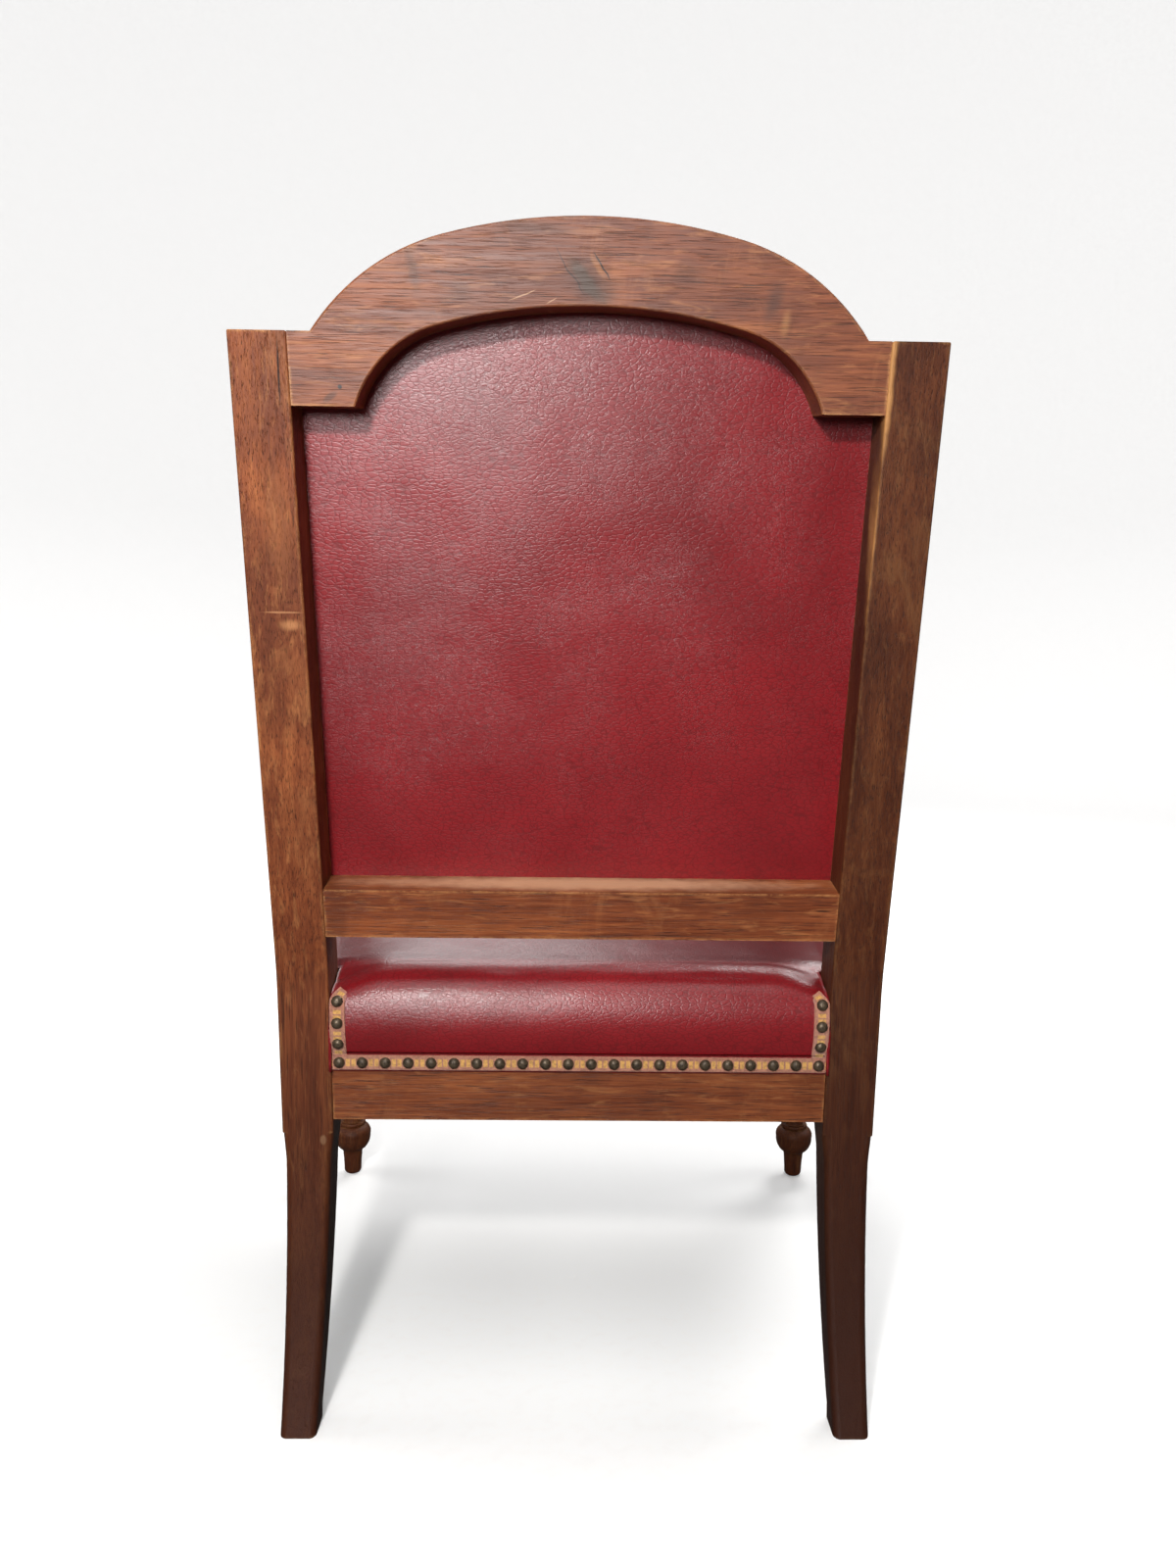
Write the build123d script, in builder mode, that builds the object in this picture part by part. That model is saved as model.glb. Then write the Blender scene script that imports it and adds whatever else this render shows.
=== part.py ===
from build123d import *
import os
from math import asin, atan2, cos, pi, radians, sin, sqrt, tan

os.makedirs("parts", exist_ok=True)

# An upholstered high-backed armchair: an oak frame, a sprung leather seat and a leather back.
# Millimetres, +Z up, the front faces -Y, and the origin is on the floor under the middle.

# Rear posts: one piece from the foot to the top of the back
post_width = 50.0
post_depth = 50.0
foot_half_span = 285.5
lean = 1.1
rake = 8.0
bend_lift = 76.0
bend_radius = 280.0
back_length = 586.0
foot_splay = 57.0
foot_depth = 34.0
foot_width = 34.0
knee_drop = 13.0
knee_length = 28.0
knee_step = 2.0
knee_taper = 4.0
knee_radius = 150.0
leg_round = 7.0
wood_round = 2.0

# Crest rail
shoulder_height = 60.0
arch_half = 236.0
arch_rise = 93.0
arch_crown_radius = 495.0
arch_crown_half = 125.0
hollow_half = 199.7
hollow_rise = 83.2
hollow_crown_radius = 497.0
hollow_crown_half = 130.0

# Lower back rail
lower_rail_height = 47.5
lower_rail_lift = 41.4
rail_inset = 1.5

# Seat frame
seat_rail_bottom = 296.0
seat_rail_height = 68.0
seat_rail_thickness = 28.0
seat_rail_inset = 3.0
seat_depth = 542.0
seat_front_half = 343.5
block_size = 50.0
block_drop = 10.0
block_top = 455.0
block_chamfer = 4.0

# Tenons and mortises
tenon_thickness = 12.0
tenon_length = 22.0
tenon_shoulder = 9.0
tenon_clearance = 0.15

# Turned front legs and arm supports
ball_radius = 25.4
baluster_radius = 22.0
support_height = 185.0
spigot_radius = 10.0
spigot_length = 22.0

# Armrests
arm_thickness = 34.0
arm_rear_width = 29.0
arm_front_width = 58.0
arm_overhang = 24.0
arm_bow = 9.0
arm_dip = 6.0

# Corner blocks and their screws
brace_reach = 62.0
brace_height = 40.0
brace_clearance = 0.3
screw_radius = 2.25
screw_head_radius = 4.5
screw_length = 34.0
screw_clearance = 0.1
screw_seat = 14.0
screw_head_height = 2.6
brace_screw_share = 0.42

# Upholstery materials
leather = 1.6
canvas = 0.8
web_width = 50.0
web_thickness = 1.4
web_lap = 18.0
cloth_clearance = 0.3
cloth_margin = 8.0

# Seat pad
skirt_height = 18.0
notch_clearance = 0.5
seat_bulge = 5.0
seat_bulge_height = 54.0
seat_edge_height = 82.0
seat_roll = 44.0
seat_crown = 5.0
seat_side_height = 77.0
seat_side_crown = 12.0
dome_rise = 35.0
dome_inset = 22.0
dome_lap = 12.0

# Springs
spring_radius = 42.0
spring_waist = 26.0
spring_wire = 1.9
spring_turns = 5
spring_columns = 3
spring_rows = 3
spring_margin_share = 0.4

# Back pad
rebate_width = 20.0
rebate_depth = 6.0
panel_margin = 3.0
flange_margin = 2.0
back_flange = 20.0
back_fullness = 46.0
back_web_gap = 84.0
back_uprights = 5
back_levels = 6

# Braid and nails
braid_width = 15.0
braid_thickness = 2.0
braid_margin = 1.5
riser_length = 68.0
nail_radius = 5.6
nail_dome = 3.8
nail_bow_share = 0.72
nail_shank_radius = 0.9
nail_length = 12.0
nail_pitch = 22.3

overrun = 20.0

# Shares of the leg's height, of its ball's radius, and the bow of each stretch
foot_shares = (
    (0.0, 0.33, 0.0), (0.017, 0.47, 0.03), (0.105, 0.53, -0.01), (0.135, 0.75, -0.06),
    (0.2, 1.0, 0.08), (0.252, 0.64, 0.15), (0.253, 0.7, 0.0), (0.268, 0.7, 0.03),
    (0.269, 0.52, 0.0), (0.305, 0.5, -0.02), (0.306, 0.64, 0.0), (0.322, 0.64, 0.04),
    (0.323, 0.52, 0.0), (0.78, 0.86, 0.03), (0.8, 0.91, 0.0), (0.835, 0.91, 0.06),
    (0.845, 0.66, 0.0), (0.88, 0.66, -0.1), (0.895, 0.9, 0.0), (0.935, 0.9, 0.07),
    (0.945, 0.8, 0.0), (1.0, 0.8, 0.0),
)
support_shares = (
    (0.0, 0.9, 0.0), (0.05, 0.9, 0.05), (0.052, 0.68, 0.0), (0.11, 0.62, -0.05),
    (0.12, 0.85, 0.0), (0.16, 0.85, 0.05), (0.17, 0.6, 0.0), (0.38, 1.0, 0.12),
    (0.74, 0.55, -0.06), (0.76, 0.85, 0.0), (0.8, 0.85, 0.05), (0.82, 0.6, 0.0),
    (0.93, 0.95, -0.06), (1.0, 0.95, 0.02),
)
# Shares of the back pad's fullness, and of the flange, for its crowned layers
back_level_shares = (0.0, 0.4, 0.74, 0.93, 1.0)
riser_nail_shares = (0.2, 0.57, 0.94)
back_inset_shares = (1.0, 0.88, 1.3, 2.3, 3.9)

# Places worked out from the sizes
post_lean = radians(lean)
back_rake = radians(rake)
seat_ground = seat_rail_bottom + seat_rail_height
bend_height = seat_ground + bend_lift
back_reach = (back_length + arch_rise) * sin(back_rake) - rail_inset * cos(back_rake)
rear_y = (seat_depth + arm_overhang - back_reach) / 2
leg_x = seat_front_half - block_size / 2
leg_y = rear_y - seat_depth + block_size / 2
knee_height = seat_rail_bottom - knee_drop
arm_bottom = block_top + support_height
arm_top = arm_bottom + arm_thickness
skirt_bottom = seat_ground - skirt_height

# Planes of the frame
outer_plane = Plane(
    origin=(foot_half_span, 0, 0),
    x_dir=(0, 1, 0),
    z_dir=(cos(post_lean), 0, -sin(post_lean)),
)
width_plane = Plane(
    origin=(foot_half_span, 0, 0),
    x_dir=(-cos(post_lean), 0, sin(post_lean)),
    z_dir=(0, 1, 0),
)
inner_left = outer_plane.offset(-post_width)
inner_right = Plane(
    origin=(-inner_left.origin.X, 0, inner_left.origin.Z),
    x_dir=(0, 1, 0),
    z_dir=(-cos(post_lean), 0, -sin(post_lean)),
)
back_plane = Plane(
    origin=(0, rear_y, bend_height),
    x_dir=(-1, 0, 0),
    z_dir=(0, cos(back_rake), -sin(back_rake)),
)
top_plane = Plane(
    origin=(0, rear_y + back_length * sin(back_rake), bend_height + back_length * cos(back_rake)),
    x_dir=(1, 0, 0),
    z_dir=(0, sin(back_rake), cos(back_rake)),
)
arm_seat_plane = Plane(
    origin=(
        foot_half_span + bend_height * sin(post_lean),
        rear_y - post_depth * cos(back_rake),
        bend_height + post_depth * sin(back_rake),
    ),
    x_dir=(cos(post_lean), 0, -sin(post_lean)),
    z_dir=(sin(back_rake) * sin(post_lean), -cos(back_rake), sin(back_rake) * cos(post_lean)),
)


def outer_half(height):
    """Half the chair's width over the rear posts at a height."""
    return foot_half_span + height * tan(post_lean)


def inner_half(height):
    """Half the clear width between the rear posts at a height."""
    return outer_half(height) - post_width / cos(post_lean)


def back_half(slope):
    """Half the clear width between the posts, at a length up the raked back."""
    return inner_half(bend_height + slope * cos(back_rake))


side_rail_rear = outer_half(seat_ground) - seat_rail_inset
side_rail_front = seat_front_half - seat_rail_inset
side_rail_run = seat_depth - block_size - post_depth
side_angle = atan2(side_rail_front - side_rail_rear, side_rail_run)


def side_x(forward, outward):
    """X of a line along the side rail's outer face, moved square to it by outward."""
    along = (forward - post_depth) * tan(side_angle)
    return side_rail_rear + along + outward / cos(side_angle)


def at(forward):
    """Y of a place that lies forward of the rear posts' back face at the seat."""
    return rear_y - forward


def mirrored(part):
    """The right-hand twin of a left-hand piece."""
    with BuildPart(mode=Mode.PRIVATE) as twin:
        mirror(part, about=Plane.YZ)
    return twin.part


def finish(part, name):
    """Label a piece and write its file."""
    part.label = name
    export_step(part, f"parts/{name}.step")


# Outlines of the raked back, drawn as seen from behind


def arch_edges(half, base, rise, crown_radius, crown_half, grow):
    """Three-centred arch, drawn grow outside its sizes, and the two ends of its foot."""
    turn = asin(crown_half / crown_radius)
    haunch = base + rise - crown_radius * (1 - cos(turn))
    run = half - crown_half
    climb = haunch - base
    haunch_radius = (run**2 + climb**2) / (2 * (climb * cos(turn) - run * sin(turn)))
    centre_x = crown_half - haunch_radius * sin(turn)
    centre_y = haunch - haunch_radius * cos(turn)
    foot_y = base + grow
    foot_x = centre_x + sqrt((haunch_radius + grow) ** 2 - (foot_y - centre_y) ** 2)
    tip_x = crown_half + grow * sin(turn)
    tip_y = haunch + grow * cos(turn)
    crown = ThreePointArc((-tip_x, tip_y), (0, base + rise + grow), (tip_x, tip_y))
    TangentArc(crown @ 1, (foot_x, foot_y), tangent=crown % 1)
    TangentArc(crown @ 0, (-foot_x, foot_y), tangent=(crown % 0) * -1)
    return (-foot_x, foot_y), (foot_x, foot_y)


def back_outline(grow):
    """Face of the back's opening, grown outwards on every side."""
    bottom = lower_rail_lift + lower_rail_height - grow
    under = back_length - shoulder_height
    top = under + grow
    low_x = back_half(bottom) + grow / cos(post_lean)
    high_x = back_half(top) + grow / cos(post_lean)
    with BuildSketch(mode=Mode.PRIVATE) as outline:
        with BuildLine():
            left, right = arch_edges(
                hollow_half, under, hollow_rise, hollow_crown_radius, hollow_crown_half, grow
            )
            Polyline(left, (-high_x, top), (-low_x, bottom), (low_x, bottom), (high_x, top), right)
        make_face()
    return outline.sketch


def back_slab(grow, level, thickness):
    """Flat layer on the back, level in front of the upholstery's ground."""
    with BuildPart(mode=Mode.PRIVATE) as slab:
        with BuildSketch(back_plane.offset(rebate_depth - post_depth - level)):
            add(back_outline(grow))
        extrude(amount=-thickness)
    return slab.part


back_rebate = back_slab(rebate_width, 0, overrun)

# Tenons


def back_tenons(slope, height, start, half_length, clearance):
    """Pair of tenons that reach from a raked rail into both posts."""
    length = tenon_length + overrun
    middle = half_length - length / 2
    with BuildPart(mode=Mode.PRIVATE) as pair:
        with BuildSketch(back_plane.offset(clearance - start)):
            with Locations((middle, slope), (-middle, slope)):
                Rectangle(length + 2 * clearance, height + 2 * clearance)
        extrude(amount=-tenon_thickness - 2 * clearance)
    return pair.part


def crest_tenons(clearance):
    """Tenons of the crest rail's shoulders."""
    slope = back_length - shoulder_height / 2
    start = (post_depth - tenon_thickness) / 2
    height = shoulder_height - 2 * tenon_shoulder
    return back_tenons(slope, height, start, back_half(slope) + tenon_length, clearance)


def lower_tenons(clearance):
    """Tenons of the lower back rail."""
    slope = lower_rail_lift + lower_rail_height / 2
    start = (post_depth - tenon_thickness) / 2
    height = lower_rail_height - 2 * tenon_shoulder
    return back_tenons(slope, height, start, back_half(slope) + tenon_length, clearance)


def seat_tenon(x, y, size_x, size_y, clearance):
    """Tenon of a seat rail, which stands in the middle of the rail's height."""
    with BuildPart(mode=Mode.PRIVATE) as tenon:
        with Locations((x, y, seat_rail_bottom + seat_rail_height / 2)):
            Box(
                size_x + 2 * clearance,
                size_y + 2 * clearance,
                seat_rail_height - 2 * tenon_shoulder + 2 * clearance,
            )
    return tenon.part


rear_rail_mid = seat_rail_inset + seat_rail_thickness / 2
front_rail_mid = seat_depth - rear_rail_mid
seat_mid_height = seat_rail_bottom + seat_rail_height / 2
rear_side_tenon_x = side_x(post_depth, -seat_rail_thickness / 2)
front_side_tenon_x = side_x(post_depth + side_rail_run, -seat_rail_thickness / 2)


def rear_rail_tenon(clearance):
    """Left tenon of the rear seat rail."""
    x = inner_half(seat_mid_height)
    return seat_tenon(x, at(rear_rail_mid), 2 * tenon_length, tenon_thickness, clearance)


def front_rail_tenon(clearance):
    """Left tenon of the front seat rail."""
    x = seat_front_half - block_size
    return seat_tenon(x, at(front_rail_mid), 2 * tenon_length, tenon_thickness, clearance)


def side_rear_tenon(clearance):
    """Tenon of the left side rail in the rear post."""
    return seat_tenon(rear_side_tenon_x, at(post_depth), tenon_thickness, 2 * tenon_length, clearance)


def side_front_tenon(clearance):
    """Tenon of the left side rail in the front leg."""
    y = at(post_depth + side_rail_run)
    return seat_tenon(front_side_tenon_x, y, tenon_thickness, 2 * tenon_length, clearance)


def arm_tenon(clearance):
    """Tenon of the left armrest in the rear post."""
    height = arm_bottom + arm_thickness / 2
    x = outer_half(height) - (post_width - rebate_width) / 2
    slope = (height - bend_height) / cos(back_rake) - post_depth * tan(back_rake)
    with BuildPart(mode=Mode.PRIVATE) as tenon:
        with BuildSketch(back_plane.offset(tenon_length + clearance - post_depth)):
            with Locations((-x, slope)):
                Rectangle(tenon_thickness + 2 * clearance, arm_thickness / 2 + 2 * clearance)
        extrude(amount=-2 * tenon_length - clearance)
    return tenon.part


# Rear posts

leg_stop = Plane.XY.offset(knee_height)


def upright_edges(post):
    """Long edges of a piece of the post, without the seams across its faces."""
    return post.edges().filter_by(lambda edge: edge.bounding_box().size.Z > wood_round)


with BuildPart() as post_blank:
    with BuildSketch(outer_plane.offset(overrun)):
        with BuildLine():
            heel = TangentArc(
                (at(0), seat_rail_bottom), (at(0) + foot_splay, 0), tangent=(0, -1)
            )
            toe = TangentArc(
                (at(post_depth), seat_rail_bottom),
                (at(0) + foot_splay - foot_depth, 0),
                tangent=(0, -1),
            )
            Polyline(
                heel @ 1,
                (at(0) + foot_splay, -overrun),
                (at(0) + foot_splay - foot_depth, -overrun),
                toe @ 1,
            )
            rear_top = (
                at(0) + (back_length + overrun) * sin(back_rake),
                bend_height + (back_length + overrun) * cos(back_rake),
            )
            front_top = (
                rear_top[0] - post_depth * cos(back_rake),
                rear_top[1] + post_depth * sin(back_rake),
            )
            FilletPolyline(heel @ 0, (at(0), bend_height), rear_top, radius=bend_radius)
            FilletPolyline(
                toe @ 0,
                (at(post_depth), bend_height + post_depth * tan(back_rake / 2)),
                front_top,
                radius=bend_radius + post_depth,
            )
            Line(rear_top, front_top)
        make_face()
    extrude(amount=-post_width - 2 * overrun)
    with BuildSketch(width_plane.offset(at(seat_depth))):
        with BuildLine():
            outer_line = FilletPolyline(
                (0, bend_height + back_length + overrun),
                (0, knee_height),
                (knee_step, knee_height - knee_length),
                (0, -overrun),
                radius=knee_radius,
            )
            inner_line = FilletPolyline(
                (post_width, bend_height + back_length + overrun),
                (post_width, knee_height),
                (post_width - knee_taper, knee_height - knee_length),
                (foot_width, -overrun),
                radius=knee_radius,
            )
            Line(outer_line @ 0, inner_line @ 0)
            Line(outer_line @ 1, inner_line @ 1)
        make_face()
    extrude(amount=2 * seat_depth, mode=Mode.INTERSECT)

with BuildPart() as sabre_leg:
    add(post_blank.part)
    split(bisect_by=Plane.XY, keep=Keep.TOP)
    split(bisect_by=leg_stop, keep=Keep.BOTTOM)
    fillet(upright_edges(sabre_leg), radius=leg_round)

with BuildPart() as rear_post_left:
    add(post_blank.part)
    split(bisect_by=leg_stop, keep=Keep.TOP)
    split(bisect_by=top_plane, keep=Keep.BOTTOM)
    fillet(upright_edges(rear_post_left), radius=wood_round)
    add(sabre_leg.part)
    add(back_rebate, mode=Mode.SUBTRACT)
    add(crest_tenons(tenon_clearance), mode=Mode.SUBTRACT)
    add(lower_tenons(tenon_clearance), mode=Mode.SUBTRACT)
    add(rear_rail_tenon(tenon_clearance), mode=Mode.SUBTRACT)
    add(side_rear_tenon(tenon_clearance), mode=Mode.SUBTRACT)
    add(arm_tenon(tenon_clearance), mode=Mode.SUBTRACT)

finish(rear_post_left.part, "rear_post_left")
finish(mirrored(rear_post_left.part), "rear_post_right")

# Crest rail, cut from one board

with BuildPart() as crest_rail:
    with BuildSketch(back_plane.offset(-rail_inset)):
        with BuildLine():
            reach = outer_half(bend_height + back_length)
            under = back_length - shoulder_height
            for side in (-1, 1):
                Polyline(
                    (side * arch_half, back_length),
                    (side * reach, back_length),
                    (side * reach, under),
                    (side * hollow_half, under),
                )
            arch_edges(arch_half, back_length, arch_rise, arch_crown_radius, arch_crown_half, 0)
            arch_edges(hollow_half, under, hollow_rise, hollow_crown_radius, hollow_crown_half, 0)
        make_face()
    extrude(amount=rail_inset - post_depth)
    fillet(crest_rail.edges().filter_by(GeomType.CIRCLE), radius=wood_round)
    split(bisect_by=inner_left, keep=Keep.BOTTOM)
    split(bisect_by=inner_right, keep=Keep.BOTTOM)
    add(crest_tenons(0))
    add(back_rebate, mode=Mode.SUBTRACT)

finish(crest_rail.part, "crest_rail")

# Lower back rail

with BuildPart() as lower_back_rail:
    with BuildSketch(back_plane.offset(-rail_inset)):
        with Locations((0, lower_rail_lift + lower_rail_height / 2)):
            Rectangle(2 * outer_half(bend_height), lower_rail_height)
    extrude(amount=rail_inset - post_depth)
    split(bisect_by=inner_left, keep=Keep.BOTTOM)
    split(bisect_by=inner_right, keep=Keep.BOTTOM)
    add(lower_tenons(0))
    add(back_rebate, mode=Mode.SUBTRACT)

finish(lower_back_rail.part, "lower_back_rail")

# Screws of the corner blocks


def screw_solid(clearance, bore):
    """Screw that crosses a rail's face at its origin and points into the rail."""
    with BuildPart(mode=Mode.PRIVATE) as screw:
        with Locations((0, 0, -screw_seat)):
            Cylinder(
                screw_radius + clearance,
                screw_length + clearance,
                align=(Align.CENTER, Align.CENTER, Align.MIN),
            )
            Cylinder(
                screw_head_radius + clearance,
                screw_head_height + bore,
                align=(Align.CENTER, Align.CENTER, Align.MAX),
            )
    return screw.part


brace_middle = brace_reach * brace_screw_share
side_into = (cos(side_angle), sin(side_angle), 0)
rear_brace_planes = (
    Plane(
        origin=(
            inner_half(seat_rail_bottom) - brace_middle,
            at(seat_rail_inset + seat_rail_thickness),
            seat_mid_height,
        ),
        z_dir=(0, 1, 0),
    ),
    Plane(
        origin=(
            side_x(post_depth + brace_middle, -seat_rail_thickness),
            at(post_depth + brace_middle),
            seat_mid_height,
        ),
        z_dir=side_into,
    ),
)
front_brace_planes = (
    Plane(
        origin=(
            seat_front_half - block_size - brace_middle,
            at(seat_depth - seat_rail_inset - seat_rail_thickness),
            seat_mid_height,
        ),
        z_dir=(0, -1, 0),
    ),
    Plane(
        origin=(
            side_x(seat_depth - block_size - brace_middle, -seat_rail_thickness),
            at(seat_depth - block_size - brace_middle),
            seat_mid_height,
        ),
        z_dir=side_into,
    ),
)


def brace_screws(planes, clearance, bore):
    """The screws of one left-hand corner block."""
    with BuildPart(mode=Mode.PRIVATE) as screws:
        with Locations(*planes):
            add(screw_solid(clearance, bore))
    return screws.part


# Seat rails

with BuildPart() as rear_seat_rail:
    with Locations((0, at(rear_rail_mid), seat_mid_height)):
        Box(2 * outer_half(seat_ground), seat_rail_thickness, seat_rail_height)
    split(bisect_by=inner_left, keep=Keep.BOTTOM)
    split(bisect_by=inner_right, keep=Keep.BOTTOM)
    add(rear_rail_tenon(0))
    add(mirrored(rear_rail_tenon(0)))
    rear_screws = brace_screws(rear_brace_planes, screw_clearance, 0)
    add(rear_screws, mode=Mode.SUBTRACT)
    add(mirrored(rear_screws), mode=Mode.SUBTRACT)

finish(rear_seat_rail.part, "rear_seat_rail")

with BuildPart() as front_seat_rail:
    with Locations((0, at(front_rail_mid), seat_mid_height)):
        Box(2 * (seat_front_half - block_size), seat_rail_thickness, seat_rail_height)
    add(front_rail_tenon(0))
    add(mirrored(front_rail_tenon(0)))
    front_screws = brace_screws(front_brace_planes, screw_clearance, 0)
    add(front_screws, mode=Mode.SUBTRACT)
    add(mirrored(front_screws), mode=Mode.SUBTRACT)

finish(front_seat_rail.part, "front_seat_rail")

with BuildPart() as side_seat_rail_left:
    with BuildSketch(Plane.XY.offset(seat_rail_bottom)):
        front = post_depth + side_rail_run
        Polygon(
            (side_x(post_depth, 0), at(post_depth)),
            (side_x(front, 0), at(front)),
            (side_x(front, -seat_rail_thickness), at(front)),
            (side_x(post_depth, -seat_rail_thickness), at(post_depth)),
            align=None,
        )
    extrude(amount=seat_rail_height)
    add(side_rear_tenon(0))
    add(side_front_tenon(0))
    add(rear_screws, mode=Mode.SUBTRACT)
    add(front_screws, mode=Mode.SUBTRACT)

finish(side_seat_rail_left.part, "side_seat_rail_left")
finish(mirrored(side_seat_rail_left.part), "side_seat_rail_right")

# Front legs: one turned piece with the arm supports above the seat


def turned_edges(base, length, radius, shares):
    """Edges of a turning from its lowest to its highest share."""
    last = None
    for height_share, radius_share, bow_share in shares:
        point = (radius * radius_share, base + length * height_share)
        if last is not None and bow_share == 0:
            Line(last, point)
        elif last is not None:
            SagittaArc(last, point, -radius * bow_share)
        last = point
    return last


def turned_solid(base, length, radius, shares):
    """Turning around the left front leg's axis."""
    axis_plane = Plane(origin=(leg_x, leg_y, 0), x_dir=(1, 0, 0), z_dir=(0, -1, 0))
    with BuildPart(mode=Mode.PRIVATE) as turning:
        with BuildSketch(axis_plane):
            with BuildLine():
                end = turned_edges(base, length, radius, shares)
                Polyline(end, (0, end[1]), (0, base), (radius * shares[0][1], base))
            make_face()
        revolve(axis=Axis((leg_x, leg_y, 0), (0, 0, 1)))
    return turning.part


block_bottom = seat_rail_bottom - block_drop

with BuildPart() as front_leg_left:
    with Locations((leg_x, leg_y, (block_bottom + block_top) / 2)):
        Box(block_size, block_size, block_top - block_bottom)
    chamfer(front_leg_left.faces().sort_by(Axis.Z)[0].edges(), length=block_chamfer)
    chamfer(front_leg_left.faces().sort_by(Axis.Z)[-1].edges(), length=block_chamfer)
    add(turned_solid(0, block_bottom, ball_radius, foot_shares))
    add(turned_solid(block_top, support_height, baluster_radius, support_shares))
    with Locations((leg_x, leg_y, arm_bottom)):
        Cylinder(spigot_radius, spigot_length, align=(Align.CENTER, Align.CENTER, Align.MIN))
    add(front_rail_tenon(tenon_clearance), mode=Mode.SUBTRACT)
    add(side_front_tenon(tenon_clearance), mode=Mode.SUBTRACT)

finish(front_leg_left.part, "front_leg_left")
finish(mirrored(front_leg_left.part), "front_leg_right")

# Armrests

arm_rear_x = outer_half(arm_bottom) - arm_rear_width / 2
arm_end = seat_depth + arm_overhang

with BuildPart() as armrest_left:
    with BuildSketch(Plane.XY.offset(arm_bottom - overrun)):
        with BuildLine():
            nose = arm_end - arm_front_width / 2
            middle = (nose - overrun) / 2
            middle_x = (arm_rear_x + leg_x) / 2
            middle_half = (arm_rear_width + arm_front_width) / 4
            outer_rear = (arm_rear_x + arm_rear_width / 2, at(-overrun))
            inner_rear = (arm_rear_x - arm_rear_width / 2, at(-overrun))
            outer_front = (leg_x + arm_front_width / 2, at(nose))
            inner_front = (leg_x - arm_front_width / 2, at(nose))
            ThreePointArc(outer_rear, (middle_x + middle_half - arm_bow, at(middle)), outer_front)
            ThreePointArc(inner_rear, (middle_x - middle_half - arm_bow, at(middle)), inner_front)
            TangentArc(outer_front, (leg_x, at(arm_end)), tangent=(0, -1))
            TangentArc(inner_front, (leg_x, at(arm_end)), tangent=(0, -1))
            Line(outer_rear, inner_rear)
        make_face()
    extrude(amount=arm_thickness + 2 * overrun)
    with BuildSketch(Plane.YZ):
        with BuildLine():
            top_rear = (at(-overrun), arm_top)
            top_front = (at(arm_end - arm_thickness), arm_top)
            low_rear = (at(-overrun), arm_bottom)
            low_front = (at(arm_end - arm_thickness / 2), arm_bottom)
            ThreePointArc(top_rear, (at(arm_end / 2), arm_top - arm_dip), top_front)
            TangentArc(top_front, (at(arm_end), arm_bottom + arm_thickness / 2), tangent=(-1, 0))
            TangentArc(low_front, (at(arm_end), arm_bottom + arm_thickness / 2), tangent=(-1, 0))
            Line(low_front, low_rear)
            Line(low_rear, top_rear)
        make_face()
    extrude(amount=2 * seat_front_half, mode=Mode.INTERSECT)
    split(bisect_by=arm_seat_plane, keep=Keep.TOP)
    add(arm_tenon(0))
    with Locations((leg_x, leg_y, arm_bottom - overrun)):
        Cylinder(
            spigot_radius + tenon_clearance,
            spigot_length + overrun + tenon_clearance,
            align=(Align.CENTER, Align.CENTER, Align.MIN),
            mode=Mode.SUBTRACT,
        )

finish(armrest_left.part, "armrest_left")
finish(mirrored(armrest_left.part), "armrest_right")

# Corner blocks, glued and screwed into the corners of the seat frame


def corner_block(points, planes):
    """Glued block in a corner of the seat frame, with bored screw holes."""
    with BuildPart(mode=Mode.PRIVATE) as block:
        with BuildSketch(Plane.XY.offset(seat_mid_height - brace_height / 2)):
            Polygon(*points, align=None)
        extrude(amount=brace_height)
        add(brace_screws(planes, screw_clearance, brace_reach), mode=Mode.SUBTRACT)
    return block.part


rear_rail_face = seat_rail_inset + seat_rail_thickness
post_face = inner_half(seat_rail_bottom) - brace_clearance
rear_block_points = (
    (post_face - brace_reach, at(rear_rail_face)),
    (post_face, at(rear_rail_face)),
    (post_face, at(post_depth + brace_clearance)),
    (side_x(post_depth, -seat_rail_thickness), at(post_depth + brace_clearance)),
    (side_x(post_depth + brace_reach, -seat_rail_thickness), at(post_depth + brace_reach)),
)
front_rail_face = seat_depth - rear_rail_face
leg_face = seat_front_half - block_size - brace_clearance
leg_back = seat_depth - block_size - brace_clearance
front_block_points = (
    (leg_face - brace_reach, at(front_rail_face)),
    (leg_face, at(front_rail_face)),
    (leg_face, at(leg_back)),
    (side_x(leg_back, -seat_rail_thickness), at(leg_back)),
    (side_x(leg_back - brace_reach, -seat_rail_thickness), at(leg_back - brace_reach)),
)

rear_block = corner_block(rear_block_points, rear_brace_planes)
front_block = corner_block(front_block_points, front_brace_planes)
finish(rear_block, "corner_block_rear_left")
finish(mirrored(rear_block), "corner_block_rear_right")
finish(front_block, "corner_block_front_left")
finish(mirrored(front_block), "corner_block_front_right")

with BuildPart() as corner_block_screws:
    for planes in (rear_brace_planes, front_brace_planes):
        screws = brace_screws(planes, 0, 0)
        add(screws)
        add(mirrored(screws))

finish(corner_block_screws.part, "corner_block_screws")

# Jute webbing under the seat rails, with the lengthwise strips on top


def strip(x, y, size_x, size_y, top):
    """One flat strip of webbing, added to the part being built."""
    with Locations((x, y, top)):
        Box(size_x, size_y, web_thickness, align=(Align.CENTER, Align.CENTER, Align.MAX))


seat_middle = (rear_rail_face + front_rail_face) / 2
spring_gap_x = 2 * side_x(post_depth, -seat_rail_thickness) / (spring_columns + spring_margin_share)
spring_gap_y = (front_rail_face - rear_rail_face) / (spring_rows + spring_margin_share)
web_reach = front_rail_face - rear_rail_face + 2 * web_lap


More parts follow.
